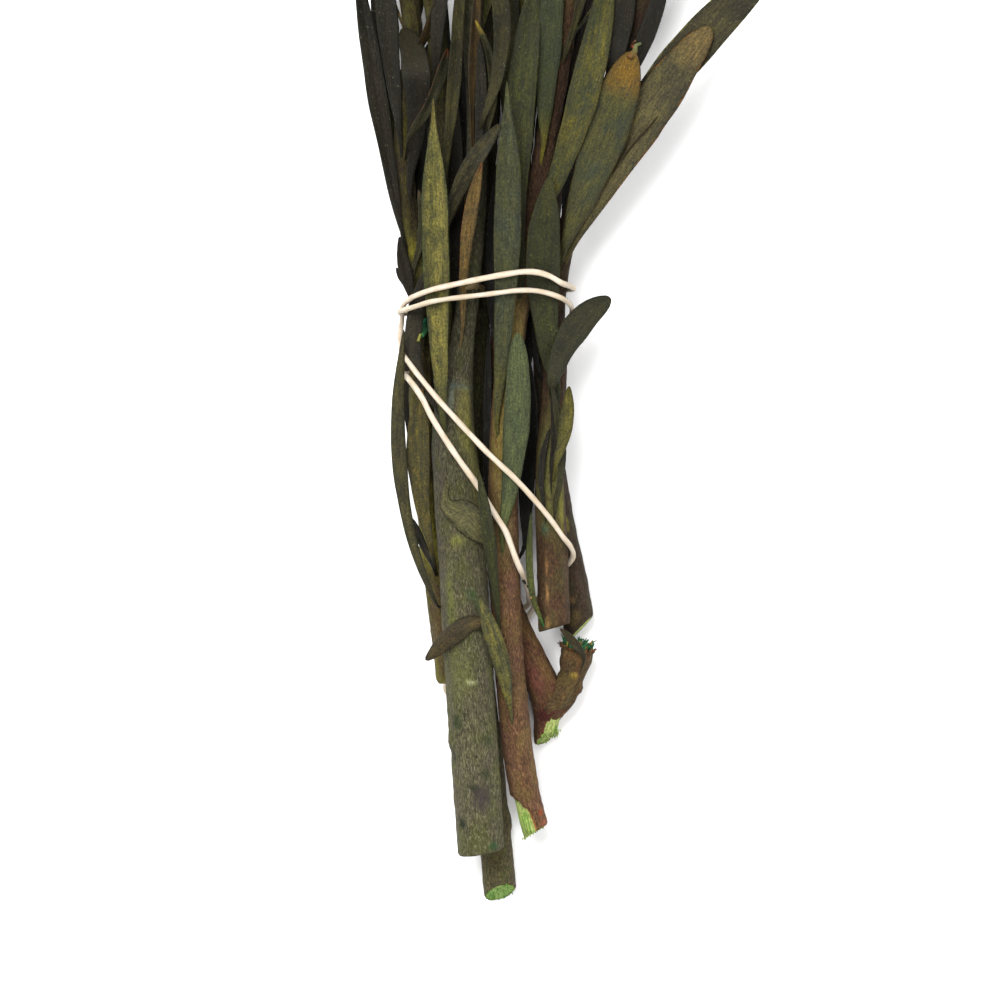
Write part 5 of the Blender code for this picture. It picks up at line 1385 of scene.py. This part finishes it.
def bark_line(line):
    """A shoot's line resampled finely: finest at its cut, and coarser outside the photo."""
    near = [row for row in line if row[1] <= PHOTO_TOP]
    far = [row for row in line if row[1] >= near[-1][1]]
    fine = smooth_rows(near[:CUT_ROWS], BARK_RING_CUT)[:-1]
    fine += smooth_rows(near[CUT_ROWS - 1:], BARK_RING)
    if len(far) > 1:
        fine = fine[:-1] + smooth_rows(far, BARK_RING_FAR)
    return fine


def bark_values(facts, colours):
    """The values at the bark's points, from what is known of each: place, cut, mark, its share, and its tone
    of painted shade.
    """
    place, cut, mark, marked, painted_shade_tones = zip(*facts)
    values = {"place": place, "cut": cut, "mark": mark, "marked": marked}
    for label, colour in zip(("crack", "body", "grain", "moss", "stain", "wood", "ring"), colours):
        values[label] = [tuple(c * tone for c in colour) for tone in painted_shade_tones]
    return values


def bark_wall(name, line, cut, seed):
    """The points of a shoot's bark, ring by ring, with ridges, scars, marks, tears and painted shade towards
    the heads.
    """
    depth = BARKS[name][1]
    frames = shoot_frames(line)
    scars = [(*nearest_angle(line, x, y), *rest) for x, y, *rest in SCARS.get(name, [])]
    marks = [(*nearest_angle(line, x, y), length, width, dyed(code, BARK_DYE), strength)
             for x, y, length, width, code, strength in MARKS.get(name, [])]
    verts, facts = [], []
    for (point, way, side, top, distance), row in zip(frames, line):
        # painted shade: the bark darkens towards the heads, where the stems and leaves overlap
        tone = 1.0 - BARK_PAINTED_SHADE * smooth_step(point.y, PAINTED_SHADE_FROM, PAINTED_SHADE_TO)
        slope = max(0.0, 1.0 - distance / SLANT_LENGTH)
        end = max(0.0, 1.0 - distance / EDGE_LENGTH)
        for angle in circle(BARK_SIDES):
            cos, sin = math.cos(angle), math.sin(angle)
            bare = torn_away(name, angle, distance, seed)
            radius = row[3] * BARK_SHARE + bark_depth(angle, distance, depth, seed) * (1.0 - bare)
            radius -= EDGE_ROUNDING * end * end
            if bare > 0.0:
                grooves = noise.noise(Vector((cos * 5.0, sin * 5.0, distance * 0.08)))
                radius -= bare * (TEARS[name][3] + 0.35 * grooves)
            for reach, (height,) in near_spots(scars, frames, angle, distance, row[3], 9.0):
                radius += height * (math.exp(-reach) - 0.45 * math.exp(-reach * 7.0))
            colour, share = NO_COLOUR, 0.0
            for reach, (paint, strength) in near_spots(marks, frames, angle, distance, row[3], 6.0):
                weight = strength * math.exp(-reach * reach)
                colour = lerp_colour(colour, paint, weight / max(share + weight, 1e-6))
                share = min(1.0, share + weight)
            offset = radius * around(angle, side, top)
            verts.append(point + offset + way * (slanted(cut, offset, side, top) * slope))
            place = (cos * row[3], sin * row[3], distance + seed * 31.0)
            facts.append((place, bare, colour, share, tone))
    return verts, facts, frames[0][1]


def cut_end(verts, facts, way, radius, torn, seed):
    """Add the rings of torn wood that close a shoot's lower cut, and give their faces."""
    outline = verts[:BARK_SIDES]
    middle = sum(outline, Vector()) / BARK_SIDES
    faces = []
    before = 0
    for share in CUT_RINGS:
        first = len(verts)
        for k, angle in enumerate(circle(BARK_SIDES)):
            cos, sin = share * math.cos(angle), share * math.sin(angle)
            spot = middle.lerp(outline[k], share)
            grain = noise.noise(Vector((cos * 5.0, sin * 5.0, seed)))
            fibre = noise.noise(Vector((spot.x * 2.3, spot.z * 2.3, seed * 2.0)))
            pull = torn * (0.65 * grain + 0.5 * fibre) * (1.0 - 0.4 * share) - 0.12
            verts.append(spot - way * pull)
            bare = 0.55 if share == CUT_RINGS[0] else 1.0
            facts.append(((cos * radius, sin * radius, seed), bare, NO_COLOUR, 0.0, 1.0))
            n = (k + 1) % BARK_SIDES
            faces.append((before + n, before + k, first + k, first + n))
        before = first
    faces.append(tuple(range(before, before + BARK_SIDES)))
    return faces


def fine_bark(surface, name, line, cut, seed):
    """A shoot's bark and its cut end."""
    codes, _, torn = BARKS[name]
    fine = bark_line(line)
    verts, facts, way = bark_wall(name, fine, cut, seed)
    faces = ring_quads(len(fine), BARK_SIDES)
    faces.pop(-2)
    faces += cut_end(verts, facts, way, fine[0][3], torn, seed)
    surface.add(verts, faces, bark_values(facts, [dyed(code, BARK_DYE) for code in codes.split()]))


def strand(surface, points, radii, colour, tip, sides=5):
    """A small tapered strand along its points, its colour turning to another at its end."""
    ways = tangents(points)
    verts, paint = [], []
    base = ways[0].orthogonal().normalized()
    for i, (point, way, radius) in enumerate(zip(points, ways, radii)):
        base = (base - way * base.dot(way)).normalized()
        tone = lerp_colour(colour, tip, i / (len(points) - 1))
        for angle in circle(sides):
            lump = 1.0 + 0.25 * noise.noise(point * 1.7 + Vector((angle, 0.0, 0.0)))
            verts.append(point + radius * lump * around(angle, base, way.cross(base)))
            paint.append(tuple(c * d for c, d in zip(tone, BIT_DYE)))
    surface.add(verts, ring_quads(len(points), sides), {"place": [tuple(v) for v in verts], "body": paint})


def cut_frame(line, distance):
    """A place, directions and radius near a shoot's lower cut."""
    frames = shoot_frames(smooth_rows(line[:CUT_ROWS], BARK_RING_CUT))
    nearest = min(frames, key=lambda frame: abs(frame[4] - distance))
    return nearest[:4] + (line[0][3],)


def cut_fibres(surface, line, cut, count, paints, lengths, ring, splay, thick, chance):
    """Torn fibres that stand out of a shoot's cut, spread over a ring of it."""
    point, way, side, top, radius = cut_frame(line, 0.0)
    for _ in range(count):
        angle = chance.uniform(0.0, 2.0 * math.pi)
        share = math.sqrt(chance.uniform(ring[0] ** 2, ring[1] ** 2))
        out = around(angle, side, top)
        offset = out * radius * 0.95 * share
        start = point + offset + way * (slanted(cut, offset, side, top) + 0.3)
        length = chance.uniform(*lengths)
        lean = chance.uniform(0.2, 1.0) * splay
        bend = chance.uniform(-0.3, 0.3)
        middle = start - way * length * 0.6 + out * lean * length * 0.4
        end = start - way * length * (1.0 - 0.3 * lean) + (out * lean + side * bend) * length
        first = chance.choice(paints)
        strand(surface, [start, middle, end], [thick, thick * 0.8, thick * 0.25], first,
               lerp_colour(first, chance.choice(paints), 0.6))


def tear_fibres(surface, line, cut, name, count, paints, chance):
    """Long fibres along the wood that torn bark has laid bare."""
    middle, share, length, depth = TEARS[name]
    for _ in range(count):
        begin = chance.uniform(-0.5, 3.0)
        reach = begin + chance.uniform(2.5, 6.0)
        limit = tear_reach(share, reach / length)
        angle = middle + chance.uniform(-limit, limit) * 0.9
        points = []
        for distance in (begin, (begin + reach) / 2.0, reach):
            point, way, side, top, radius = cut_frame(line, max(0.0, distance))
            offset = around(angle, side, top) * (radius * BARK_SHARE - depth + 0.12)
            slant = slanted(cut, offset, side, top) * max(0.0, 1.0 - distance / SLANT_LENGTH)
            points.append(point + offset + way * (slant + min(0.0, distance)))
        paint = chance.choice(paints)
        strand(surface, points, [0.12, 0.22, 0.1], paint, paint)


def top_strand(surface, placed, spots, colours):
    """A small strand over the front of the bunch."""
    rows = []
    for x, y, lift, radius in spots:
        rows.append((*Vector((x, y, highest_at(placed, x, y) + lift)), radius))
    rows = smooth_rows(rows, STRAND_STEP)
    strand(surface, [Vector(row[:3]) for row in rows], [max(0.05, row[3]) for row in rows],
           *[srgb(code) for code in colours.split()], 8)


def fine_details(shoots, placed, chance):
    """The small torn bits of each node, as surfaces by node."""
    bits = {}
    for name, count, codes, lengths, ring, splay, thick in CUT_FIBRES:
        node, line = shoots[name]
        surface = bits.setdefault(node, Surface())
        paints = [srgb(code) for code in codes.split()]
        if name == "stem_4_stub":
            line = line[::-1]
        cut_fibres(surface, line, CUTS[name], count, paints, lengths, ring, splay, thick, chance)
        if name in TEAR_FIBRES:
            tear_fibres(surface, line, CUTS[name], name, TEAR_FIBRES[name], paints, chance)
    for node, spots, colours in TOP_STRANDS:
        top_strand(bits.setdefault(node, Surface()), placed, spots, colours)
    return bits


def fine_cone(surface, head, seed):
    """The small cone of a head, its scales in crossing spirals."""
    verts, along, place = [], [], []
    for i in range(CONE_RINGS):
        share = i / (CONE_RINGS - 1)
        height = CONE_HEIGHT * share - HEAD_CLEARANCE * (1.0 - share) * 1.8
        radius = CONE_RADIUS * 0.97 * math.sin(math.pi * (0.1 + 0.86 * share)) ** 0.6 + 0.1
        for angle in circle(CONE_POINTS):
            scales = abs(math.sin(4.0 * angle + height * 0.62) * math.sin(5.0 * angle - height * 0.5))
            out = radius + 0.85 * math.sqrt(scales) * min(1.0, radius / 4.0)
            verts.append(head.foot + head.way * height + out * around(angle, head.side, head.top))
            along.append(math.sqrt(scales))
            place.append((out * math.cos(angle), out * math.sin(angle), height + seed))
    surface.add(verts, ring_quads(CONE_RINGS, CONE_POINTS), {"along": along, "place": place})


def fine_head(head, chance):
    """The bracts of one head as a surface, and its cone as another."""
    bracts, cone = Surface(), Surface()
    for angle, length, belly, width in head.bracts:
        out = around(angle, head.side, head.top)
        points = [bract_point(head.foot, head.way, out, length, belly, t,
                              min(CONE_RADIUS, BRACT_ROOT + 2.0 * length * t)) for t in BRACT_PLACES]
        fine_blade(bracts, points, [out] * len(points), width, bract_tip_profile, 0.8, BRACT_STATION,
                   FINISHES["bract"], chance, HEAD_RADIUS)
    for k, angle in enumerate(circle(BASE_SCALES)):
        out = around(angle + chance.uniform(-0.2, 0.2), head.side, head.top)
        reach = CONE_RADIUS + 0.5 + 0.35 * (k % 3)
        steps = ((0.4, 1.0), (2.2, reach * 0.72), (6.0, reach), (11.0, reach + 0.6),
                 (15.5 + 2.0 * (k % 2), reach + 1.4))
        points = [head.foot + head.way * up + out * aside for up, aside in steps]
        fine_blade(bracts, points, [out] * len(points), SCALE_WIDTH, bract_tip_profile, LEAF_BODY,
                   SCALE_STATION, FINISHES["scale"], chance, CONE_RADIUS)
    fine_cone(cone, head, chance.uniform(0.0, 9.0))
    return bracts, cone


def fine_band(points):
    """The elastic band as a smooth closed tube, slightly flat and uneven."""
    rows = smooth_rows([list(p) for p in points], BAND_TUBE_STEP, closed=True)
    line = [Vector(row) for row in rows]
    verts, place = [], []
    for i, (point, frame) in enumerate(zip(line, closed_frames(line))):
        swell = 1.0 + 0.04 * math.sin(i * 0.9) + 0.05 * noise.noise(Vector((i * 0.21, 0.0, 4.0)))
        roll = 0.9 * math.sin(i * 0.045)
        for angle in circle(BAND_TUBE_SIDES):
            flat = 1.0 + 0.1 * math.cos(2.0 * (angle - roll))
            verts.append(point + BAND_SHOWN_RADIUS * swell * flat * around(angle, *frame))
            place.append((math.cos(angle) * BAND_RADIUS, math.sin(angle) * BAND_RADIUS, i * BAND_TUBE_STEP))
    surface = Surface()
    surface.add(verts, ring_quads(len(line), BAND_TUBE_SIDES, closed=True), {"place": place})
    return surface


class Shader:
    """A node material in the making."""

    def __init__(self, name, roughness, specular):
        self.material = bpy.data.materials.new(name)
        self.material.use_nodes = True
        self.nodes = self.material.node_tree.nodes
        self.links = self.material.node_tree.links
        self.surface = self.nodes["Principled BSDF"]
        self.surface.inputs["Roughness"].default_value = roughness
        self.surface.inputs["Specular IOR Level"].default_value = specular

    def join(self, source, target):
        """Link an output, or set a plain value."""
        if isinstance(source, (int, float)):
            target.default_value = source
        elif isinstance(source, tuple):
            target.default_value = (*source[:3], 1.0)
        else:
            self.links.new(source, target)

    def value(self, name, kind="Fac"):
        """A named value at the mesh's points."""
        node = self.nodes.new("ShaderNodeAttribute")
        node.attribute_name = name
        return node.outputs[kind]

    def colour(self, name):
        """A named colour at the mesh's points."""
        return self.value(name, "Color")

    def place(self):
        """Where a point lies on its own form, in millimetres."""
        return self.value("place", "Vector")

    def noise(self, place, sizes, detail=4.0, rough=0.55, shift=0.0):
        """Noise over a place, with cells of the given size in millimetres along each axis."""
        mapping = self.nodes.new("ShaderNodeMapping")
        mapping.inputs["Scale"].default_value = [1.0 / size for size in sizes]
        mapping.inputs["Location"].default_value = (shift, shift, shift)
        self.links.new(place, mapping.inputs["Vector"])
        node = self.nodes.new("ShaderNodeTexNoise")
        node.inputs["Scale"].default_value = 1.0
        node.inputs["Detail"].default_value = detail
        node.inputs["Roughness"].default_value = rough
        self.links.new(mapping.outputs["Vector"], node.inputs["Vector"])
        return node.outputs["Fac"]

    def range(self, source, low, high, to_low=0.0, to_high=1.0):
        """A value mapped from one range to another, and held within it."""
        node = self.nodes.new("ShaderNodeMapRange")
        self.join(source, node.inputs["Value"])
        self.join(low, node.inputs["From Min"])
        self.join(high, node.inputs["From Max"])
        self.join(to_low, node.inputs["To Min"])
        self.join(to_high, node.inputs["To Max"])
        return node.outputs["Result"]

    def math(self, kind, a, b=0.0):
        """Two values combined by a sum of the given kind."""
        node = self.nodes.new("ShaderNodeMath")
        node.operation = kind
        self.join(a, node.inputs[0])
        self.join(b, node.inputs[1])
        return node.outputs[0]

    def mix(self, share, a, b, kind="MIX"):
        """Two colours mixed by a share."""
        node = self.nodes.new("ShaderNodeMix")
        node.data_type = "RGBA"
        node.blend_type = kind
        self.join(share, node.inputs[0])
        self.join(a, node.inputs[6])
        self.join(b, node.inputs[7])
        return node.outputs[2]

    def split(self, source):
        """The three numbers of a colour."""
        node = self.nodes.new("ShaderNodeSeparateColor")
        self.links.new(source, node.inputs[0])
        return node.outputs

    def bump(self, height, distance, strength=1.0):
        """Low relief from a height, in metres."""
        node = self.nodes.new("ShaderNodeBump")
        node.inputs["Distance"].default_value = distance
        node.inputs["Strength"].default_value = strength
        self.join(height, node.inputs["Height"])
        self.links.new(node.outputs["Normal"], self.surface.inputs["Normal"])

    def paint(self, colour, roughness=None):
        """The finished colour and roughness."""
        self.join(colour, self.surface.inputs["Base Color"])
        if roughness is not None:
            self.join(roughness, self.surface.inputs["Roughness"])
        return self.material


def leaf_material(name, roughness):
    """Dried, dyed leaf: soft streaks and patches, fine grain, dark stains, a coloured rim and tip, and
    painted shade towards the edges.
    """
    shader = Shader(name, roughness, MATT_SPECULAR)
    place = shader.place()
    along = shader.value("along")
    middle = shader.math("ABSOLUTE", shader.value("across"))
    amounts = shader.split(shader.colour("amounts"))
    wide = shader.noise(place, (1.3, 15.0, 1.0), 3.0)
    fine = shader.noise(place, (0.36, 4.6, 1.0), 4.0, 0.65)
    patch = shader.noise(place, (6.0, 11.0, 1.0), 4.0, 0.6, 5.0)
    blots = shader.noise(place, (1.5, 2.4, 1.0), 5.0, 0.72)
    grain = shader.noise(place, (0.42, 0.6, 1.0), 3.0, 0.75)
    specks = shader.noise(place, (0.5, 0.55, 1.0), 1.0, 0.5, 9.0)
    streak = shader.math("MULTIPLY", shader.range(wide, 0.4, 0.62), amounts[0])
    colour = shader.mix(streak, shader.colour("body"), shader.colour("streak"))
    colour = shader.mix(shader.range(patch, 0.46, 0.62, 0.0, 0.8), colour, shader.colour("patch"))
    moss = shader.math("MULTIPLY", shader.range(blots, 0.55, 0.66), amounts[0])
    colour = shader.mix(moss, colour, shader.colour("streak"))
    stalk = shader.math("MULTIPLY", shader.range(along, 0.14, 0.36, 1.0, 0.0), shader.value("stalk_share"))
    colour = shader.mix(stalk, colour, shader.colour("stalk"))
    ragged = shader.math("ADD", along, shader.range(blots, 0.3, 0.7, -0.025, 0.025))
    start = shader.value("tip_start")
    tip = shader.range(ragged, start, shader.math("ADD", start, 0.1))
    colour = shader.mix(shader.math("MULTIPLY", tip, amounts[1]), colour, shader.colour("tip"))
    pale = shader.mix(1.0, colour, (1.9, 1.8, 1.5), "MULTIPLY")
    colour = shader.mix(shader.range(fine, 0.52, 0.7, 0.0, 0.6), colour, pale)
    colour = shader.mix(shader.range(fine, 0.32, 0.48, 0.55, 0.0), colour, (0.01, 0.01, 0.006))
    colour = shader.mix(shader.range(blots, 0.3, 0.45, 0.7, 0.0), colour, (0.009, 0.009, 0.005))
    # painted shade: the blade darkens towards both edges, where it turns away from the light
    colour = shader.mix(shader.range(middle, 0.5, 0.98, 0.0, 0.42), colour, (0.008, 0.009, 0.006))
    edge = shader.range(shader.math("ADD", middle, shader.range(blots, 0.3, 0.7, -0.05, 0.07)), 0.95, 1.0)
    colour = shader.mix(shader.math("MULTIPLY", edge, amounts[2]), colour, shader.colour("rim"))
    colour = shader.mix(1.0, colour, shader.range(grain, 0.3, 0.7, 0.42, 1.58), "MULTIPLY")
    colour = shader.mix(shader.range(specks, 0.7, 0.78, 0.0, 0.3), colour, (0.2, 0.19, 0.1))
    relief = shader.math("ADD", shader.math("MULTIPLY", fine, 1.2), shader.math("ADD", grain, blots))
    shader.bump(relief, LEAF_RELIEF, 0.9)
    return shader.paint(colour, shader.range(blots, 0.3, 0.7, roughness - 0.12, roughness + 0.12))


def bark_material(name):
    """Bark: fine cracks and raised grain along the shoot, patches, marks, and fibrous wood at a cut."""
    shader = Shader(name, 0.75, MATT_SPECULAR)
    place = shader.place()
    cut = shader.value("cut")
    cracks = shader.noise(place, (0.52, 0.52, 2.0), 6.0, 0.76)
    dashes = shader.noise(place, (0.33, 0.33, 1.2), 3.0, 0.65, 3.0)
    patch = shader.noise(place, (4.6, 4.6, 9.0), 4.0, 0.62)
    stain = shader.noise(place, (3.8, 3.8, 7.0), 4.0, 0.62, 11.0)
    blots = shader.noise(place, (1.6, 1.6, 2.6), 5.0, 0.75)
    grain = shader.noise(place, (0.42, 0.42, 0.8), 3.0, 0.75)
    colour = shader.mix(shader.range(cracks, 0.38, 0.56), shader.colour("crack"),
                        shader.colour("body"))
    colour = shader.mix(shader.range(patch, 0.47, 0.6, 0.0, 0.75), colour, shader.colour("moss"))
    colour = shader.mix(shader.range(stain, 0.5, 0.64, 0.0, 0.6), colour, shader.colour("stain"))
    colour = shader.mix(shader.range(dashes, 0.5, 0.72, 0.0, 0.75), colour, shader.colour("grain"))
    colour = shader.mix(shader.range(blots, 0.27, 0.41, 0.75, 0.0), colour, (0.011, 0.011, 0.008))
    marked = shader.math("MULTIPLY", shader.value("marked"), shader.range(blots, 0.34, 0.54, 0.35, 1.3))
    colour = shader.mix(shader.range(marked, 0.0, 1.0), colour, shader.colour("mark"))
    fibres = shader.noise(place, (0.3, 0.3, 3.0), 4.0, 0.7)
    wood = shader.mix(shader.range(fibres, 0.4, 0.6, 0.0, 0.7), shader.colour("wood"),
                      (0.42, 0.5, 0.17))
    wood = shader.mix(shader.range(fibres, 0.3, 0.44, 0.8, 0.0), wood, (0.07, 0.13, 0.03))
    colour = shader.mix(shader.range(cut, 0.15, 0.4), colour, shader.colour("ring"))
    colour = shader.mix(shader.range(cut, 0.58, 0.8), colour, wood)
    colour = shader.mix(1.0, colour, shader.range(grain, 0.3, 0.7, 0.5, 1.5), "MULTIPLY")
    relief = shader.math("ADD", shader.math("MULTIPLY", cracks, 1.6), shader.math("ADD", dashes, blots))
    shader.bump(relief, BARK_RELIEF)
    return shader.paint(colour, shader.range(cracks, 0.3, 0.7, 0.62, 0.92))


def bit_material():
    """Torn fibres and small bits, in their own colours."""
    shader = Shader("torn_bits", 0.7, 0.25)
    place = shader.place()
    grain = shader.noise(place, (0.35, 0.35, 0.35), 4.0, 0.65)
    colour = shader.mix(shader.range(grain, 0.3, 0.5, 0.55, 0.0), shader.colour("body"),
                        (0.02, 0.02, 0.01))
    colour = shader.mix(1.0, colour, shader.range(grain, 0.35, 0.7, 0.8, 1.3), "MULTIPLY")
    shader.bump(grain, 0.0002)
    return shader.paint(colour)


def band_material():
    """Cream rubber, slightly mottled and dusty."""
    shader = Shader("cream_rubber", 0.55, 0.35)
    place = shader.place()
    blots = shader.noise(place, (1.4, 1.4, 3.4), 4.0)
    lines = shader.noise(place, (0.2, 0.2, 3.0), 3.0)
    colour = shader.mix(shader.range(blots, 0.35, 0.65), srgb("C0B4A4"), srgb("AE9E87"))
    colour = shader.mix(shader.range(lines, 0.3, 0.45, 0.35, 0.0), colour, srgb("8C7759"))
    shader.bump(lines, 0.0001)
    return shader.paint(colour, shader.range(blots, 0.3, 0.7, 0.46, 0.66))


def cone_material():
    """The scales of a cone: brown between them, paler and downy on top."""
    shader = Shader("cone_scales", 0.8, 0.25)
    blots = shader.noise(shader.place(), (0.9, 0.9, 0.9), 4.0)
    colour = shader.mix(shader.range(shader.value("along"), 0.2, 0.85), srgb("2E2418"), srgb("6E5E36"))
    colour = shader.mix(shader.range(blots, 0.5, 0.7, 0.0, 0.6), colour, srgb("9A8C5A"))
    shader.bump(blots, 0.0003)
    return shader.paint(colour)


def floor_material():
    """A plain, pale floor with the least trace of unevenness."""
    shader = Shader("pale_floor", 0.9, 0.1)
    position = shader.nodes.new("ShaderNodeTexCoord").outputs["Object"]
    cloud = shader.noise(position, (0.3, 0.3, 0.3), 2.0)
    return shader.paint(shader.mix(cloud, (0.94, 0.94, 0.94), (0.97, 0.97, 0.97)))


def lay_bunch():
    """The part's layout, and the small leaves that close the gaps in it."""
    chance = random.Random(SEED)
    placed, shoots, leaves, heads = [], {}, [], {}
    for name, node, stations, sides, _ in SHOOTS:
        line = lay_line(stations, [line for other, line in shoots.values() if other != node])
        shoots[name] = (node, line)
        placed.append(Placed(node, *stem_solid(line, sides, CUTS[name])))
    for name, _, _, _, head in SHOOTS:
        if head is not None:
            heads[head] = head_parts(shoots[name][1], chance)
            placed.extend(Placed(head, *solid) for solid in heads[head].solids)
    for row in DEEP_LEAVES:
        place_deep_leaf(placed, leaves, shoots, row)
    for row in LEAVES_UNDER_BAND:
        place_leaf(placed, leaves, shoots, row)
    points = band_line(placed)
    placed.append(Placed("elastic_band", *band_solid(points, BAND_RADIUS)))
    for row in LEAVES_OVER_BAND:
        place_leaf(placed, leaves, shoots, row)
    for name, _, _, _, head in SHOOTS:
        if head is not None:
            shoot_leaves(placed, leaves, *shoots[name], chance)
        if name in BACK_LEAF_SHOOTS:
            back_leaves(placed, leaves, *shoots[name], chance)
    for shoot, width, *spots, finish in FILL_LEAVES:
        for lift in FILL_LIFTS:
            lifted = [(x, y, z + lift) for x, y, z in spots]
            if place_deep_leaf(placed, leaves, shoots, (shoot, width, *lifted, finish)):
                break
    return placed, shoots, leaves, heads, points


# The record's finish for each stem's bark
BARK_SLOTS = {"stem_1": "bark_olive", "stem_2": "bark_olive", "stem_7": "bark_olive",
              "stem_3": "bark_red", "stem_4": "bark_maroon", "stem_5": "bark_brown",
              "stem_6": "bark_dark"}


def dress_bunch():
    """Make every fine piece of the bunch."""
    placed, shoots, leaves, heads, points = lay_bunch()
    chance = random.Random(SEED + 1)
    bark = bark_material("bark")
    leaf_skin = leaf_material("leaf", 0.6)
    bract_skin = leaf_material("bract", 0.62)
    cone_skin = cone_material()
    bits = fine_details(shoots, placed, chance)
    bit_skin = bit_material()
    for node, slot in BARK_SLOTS.items():
        surface = Surface()
        for number, (name, (owner, line)) in enumerate(shoots.items()):
            if owner == node:
                fine_bark(surface, name, line, CUTS[name], 3.7 * number + 1.3)
        surface.finish(node + "_bark", bark, node, slot)
        surface = Surface()
        lines = [line for owner, line in shoots.values() if owner == node]
        for leaf in leaves:
            if leaf.node == node:
                fine_leaf(surface, leaf, lines, chance)
        surface.finish(node + "_leaves", leaf_skin, node, slot)
        if node in bits:
            bits[node].finish(node + "_torn_bits", bit_skin, node, slot)
    for node, head in heads.items():
        bracts, cone = fine_head(head, chance)
        bracts.finish(node + "_bracts", bract_skin, node, "bract")
        cone.finish(node + "_cone", cone_skin, node, "bract")
    fine_band(points).finish("band_rubber", band_material(), "elastic_band", "elastic")


def make_stage():
    """A pale floor, a soft white surround and two large soft lights."""
    scene = bpy.context.scene
    mesh = bpy.data.meshes.new("floor")
    signs = ((-1, -1), (1, -1), (1, 1), (-1, 1))
    mesh.from_pydata([(x * FLOOR_REACH, y * FLOOR_REACH, -FLOOR_DROP) for x, y in signs], [], [(0, 1, 2, 3)])
    mesh.materials.append(floor_material())
    link_new("floor", mesh)
    world = bpy.data.worlds.new("soft surround")
    world.use_nodes = True
    background = world.node_tree.nodes["Background"]
    background.inputs["Color"].default_value = (1.0, 1.0, 1.0, 1.0)
    background.inputs["Strength"].default_value = WORLD_STRENGTH
    scene.world = world
    scene.view_settings.view_transform = "Standard"
    for name, place, size, power in LIGHTS:
        light = bpy.data.lights.new(name, "AREA")
        light.size = size
        light.energy = power
        lamp = link_new(name, light)
        lamp.location = place
        lamp.rotation_euler = (LIGHT_AIM - Vector(place)).to_track_quat("-Z", "Y").to_euler()


def make_camera():
    """A long lens straight above the middle of the photo's view."""
    camera = bpy.data.cameras.new("camera")
    camera.lens = CAMERA_LENS
    camera.sensor_width = SENSOR
    camera.clip_start = 0.05
    camera.clip_end = 20.0
    item = link_new("camera", camera)
    item.location = (-CENTRE_X * MM, -CENTRE_Y * MM, PHOTO_WIDTH * CAMERA_LENS / SENSOR + CAMERA_PLANE)
    bpy.context.scene.camera = item


make_camera()
make_stage()
dress_bunch()
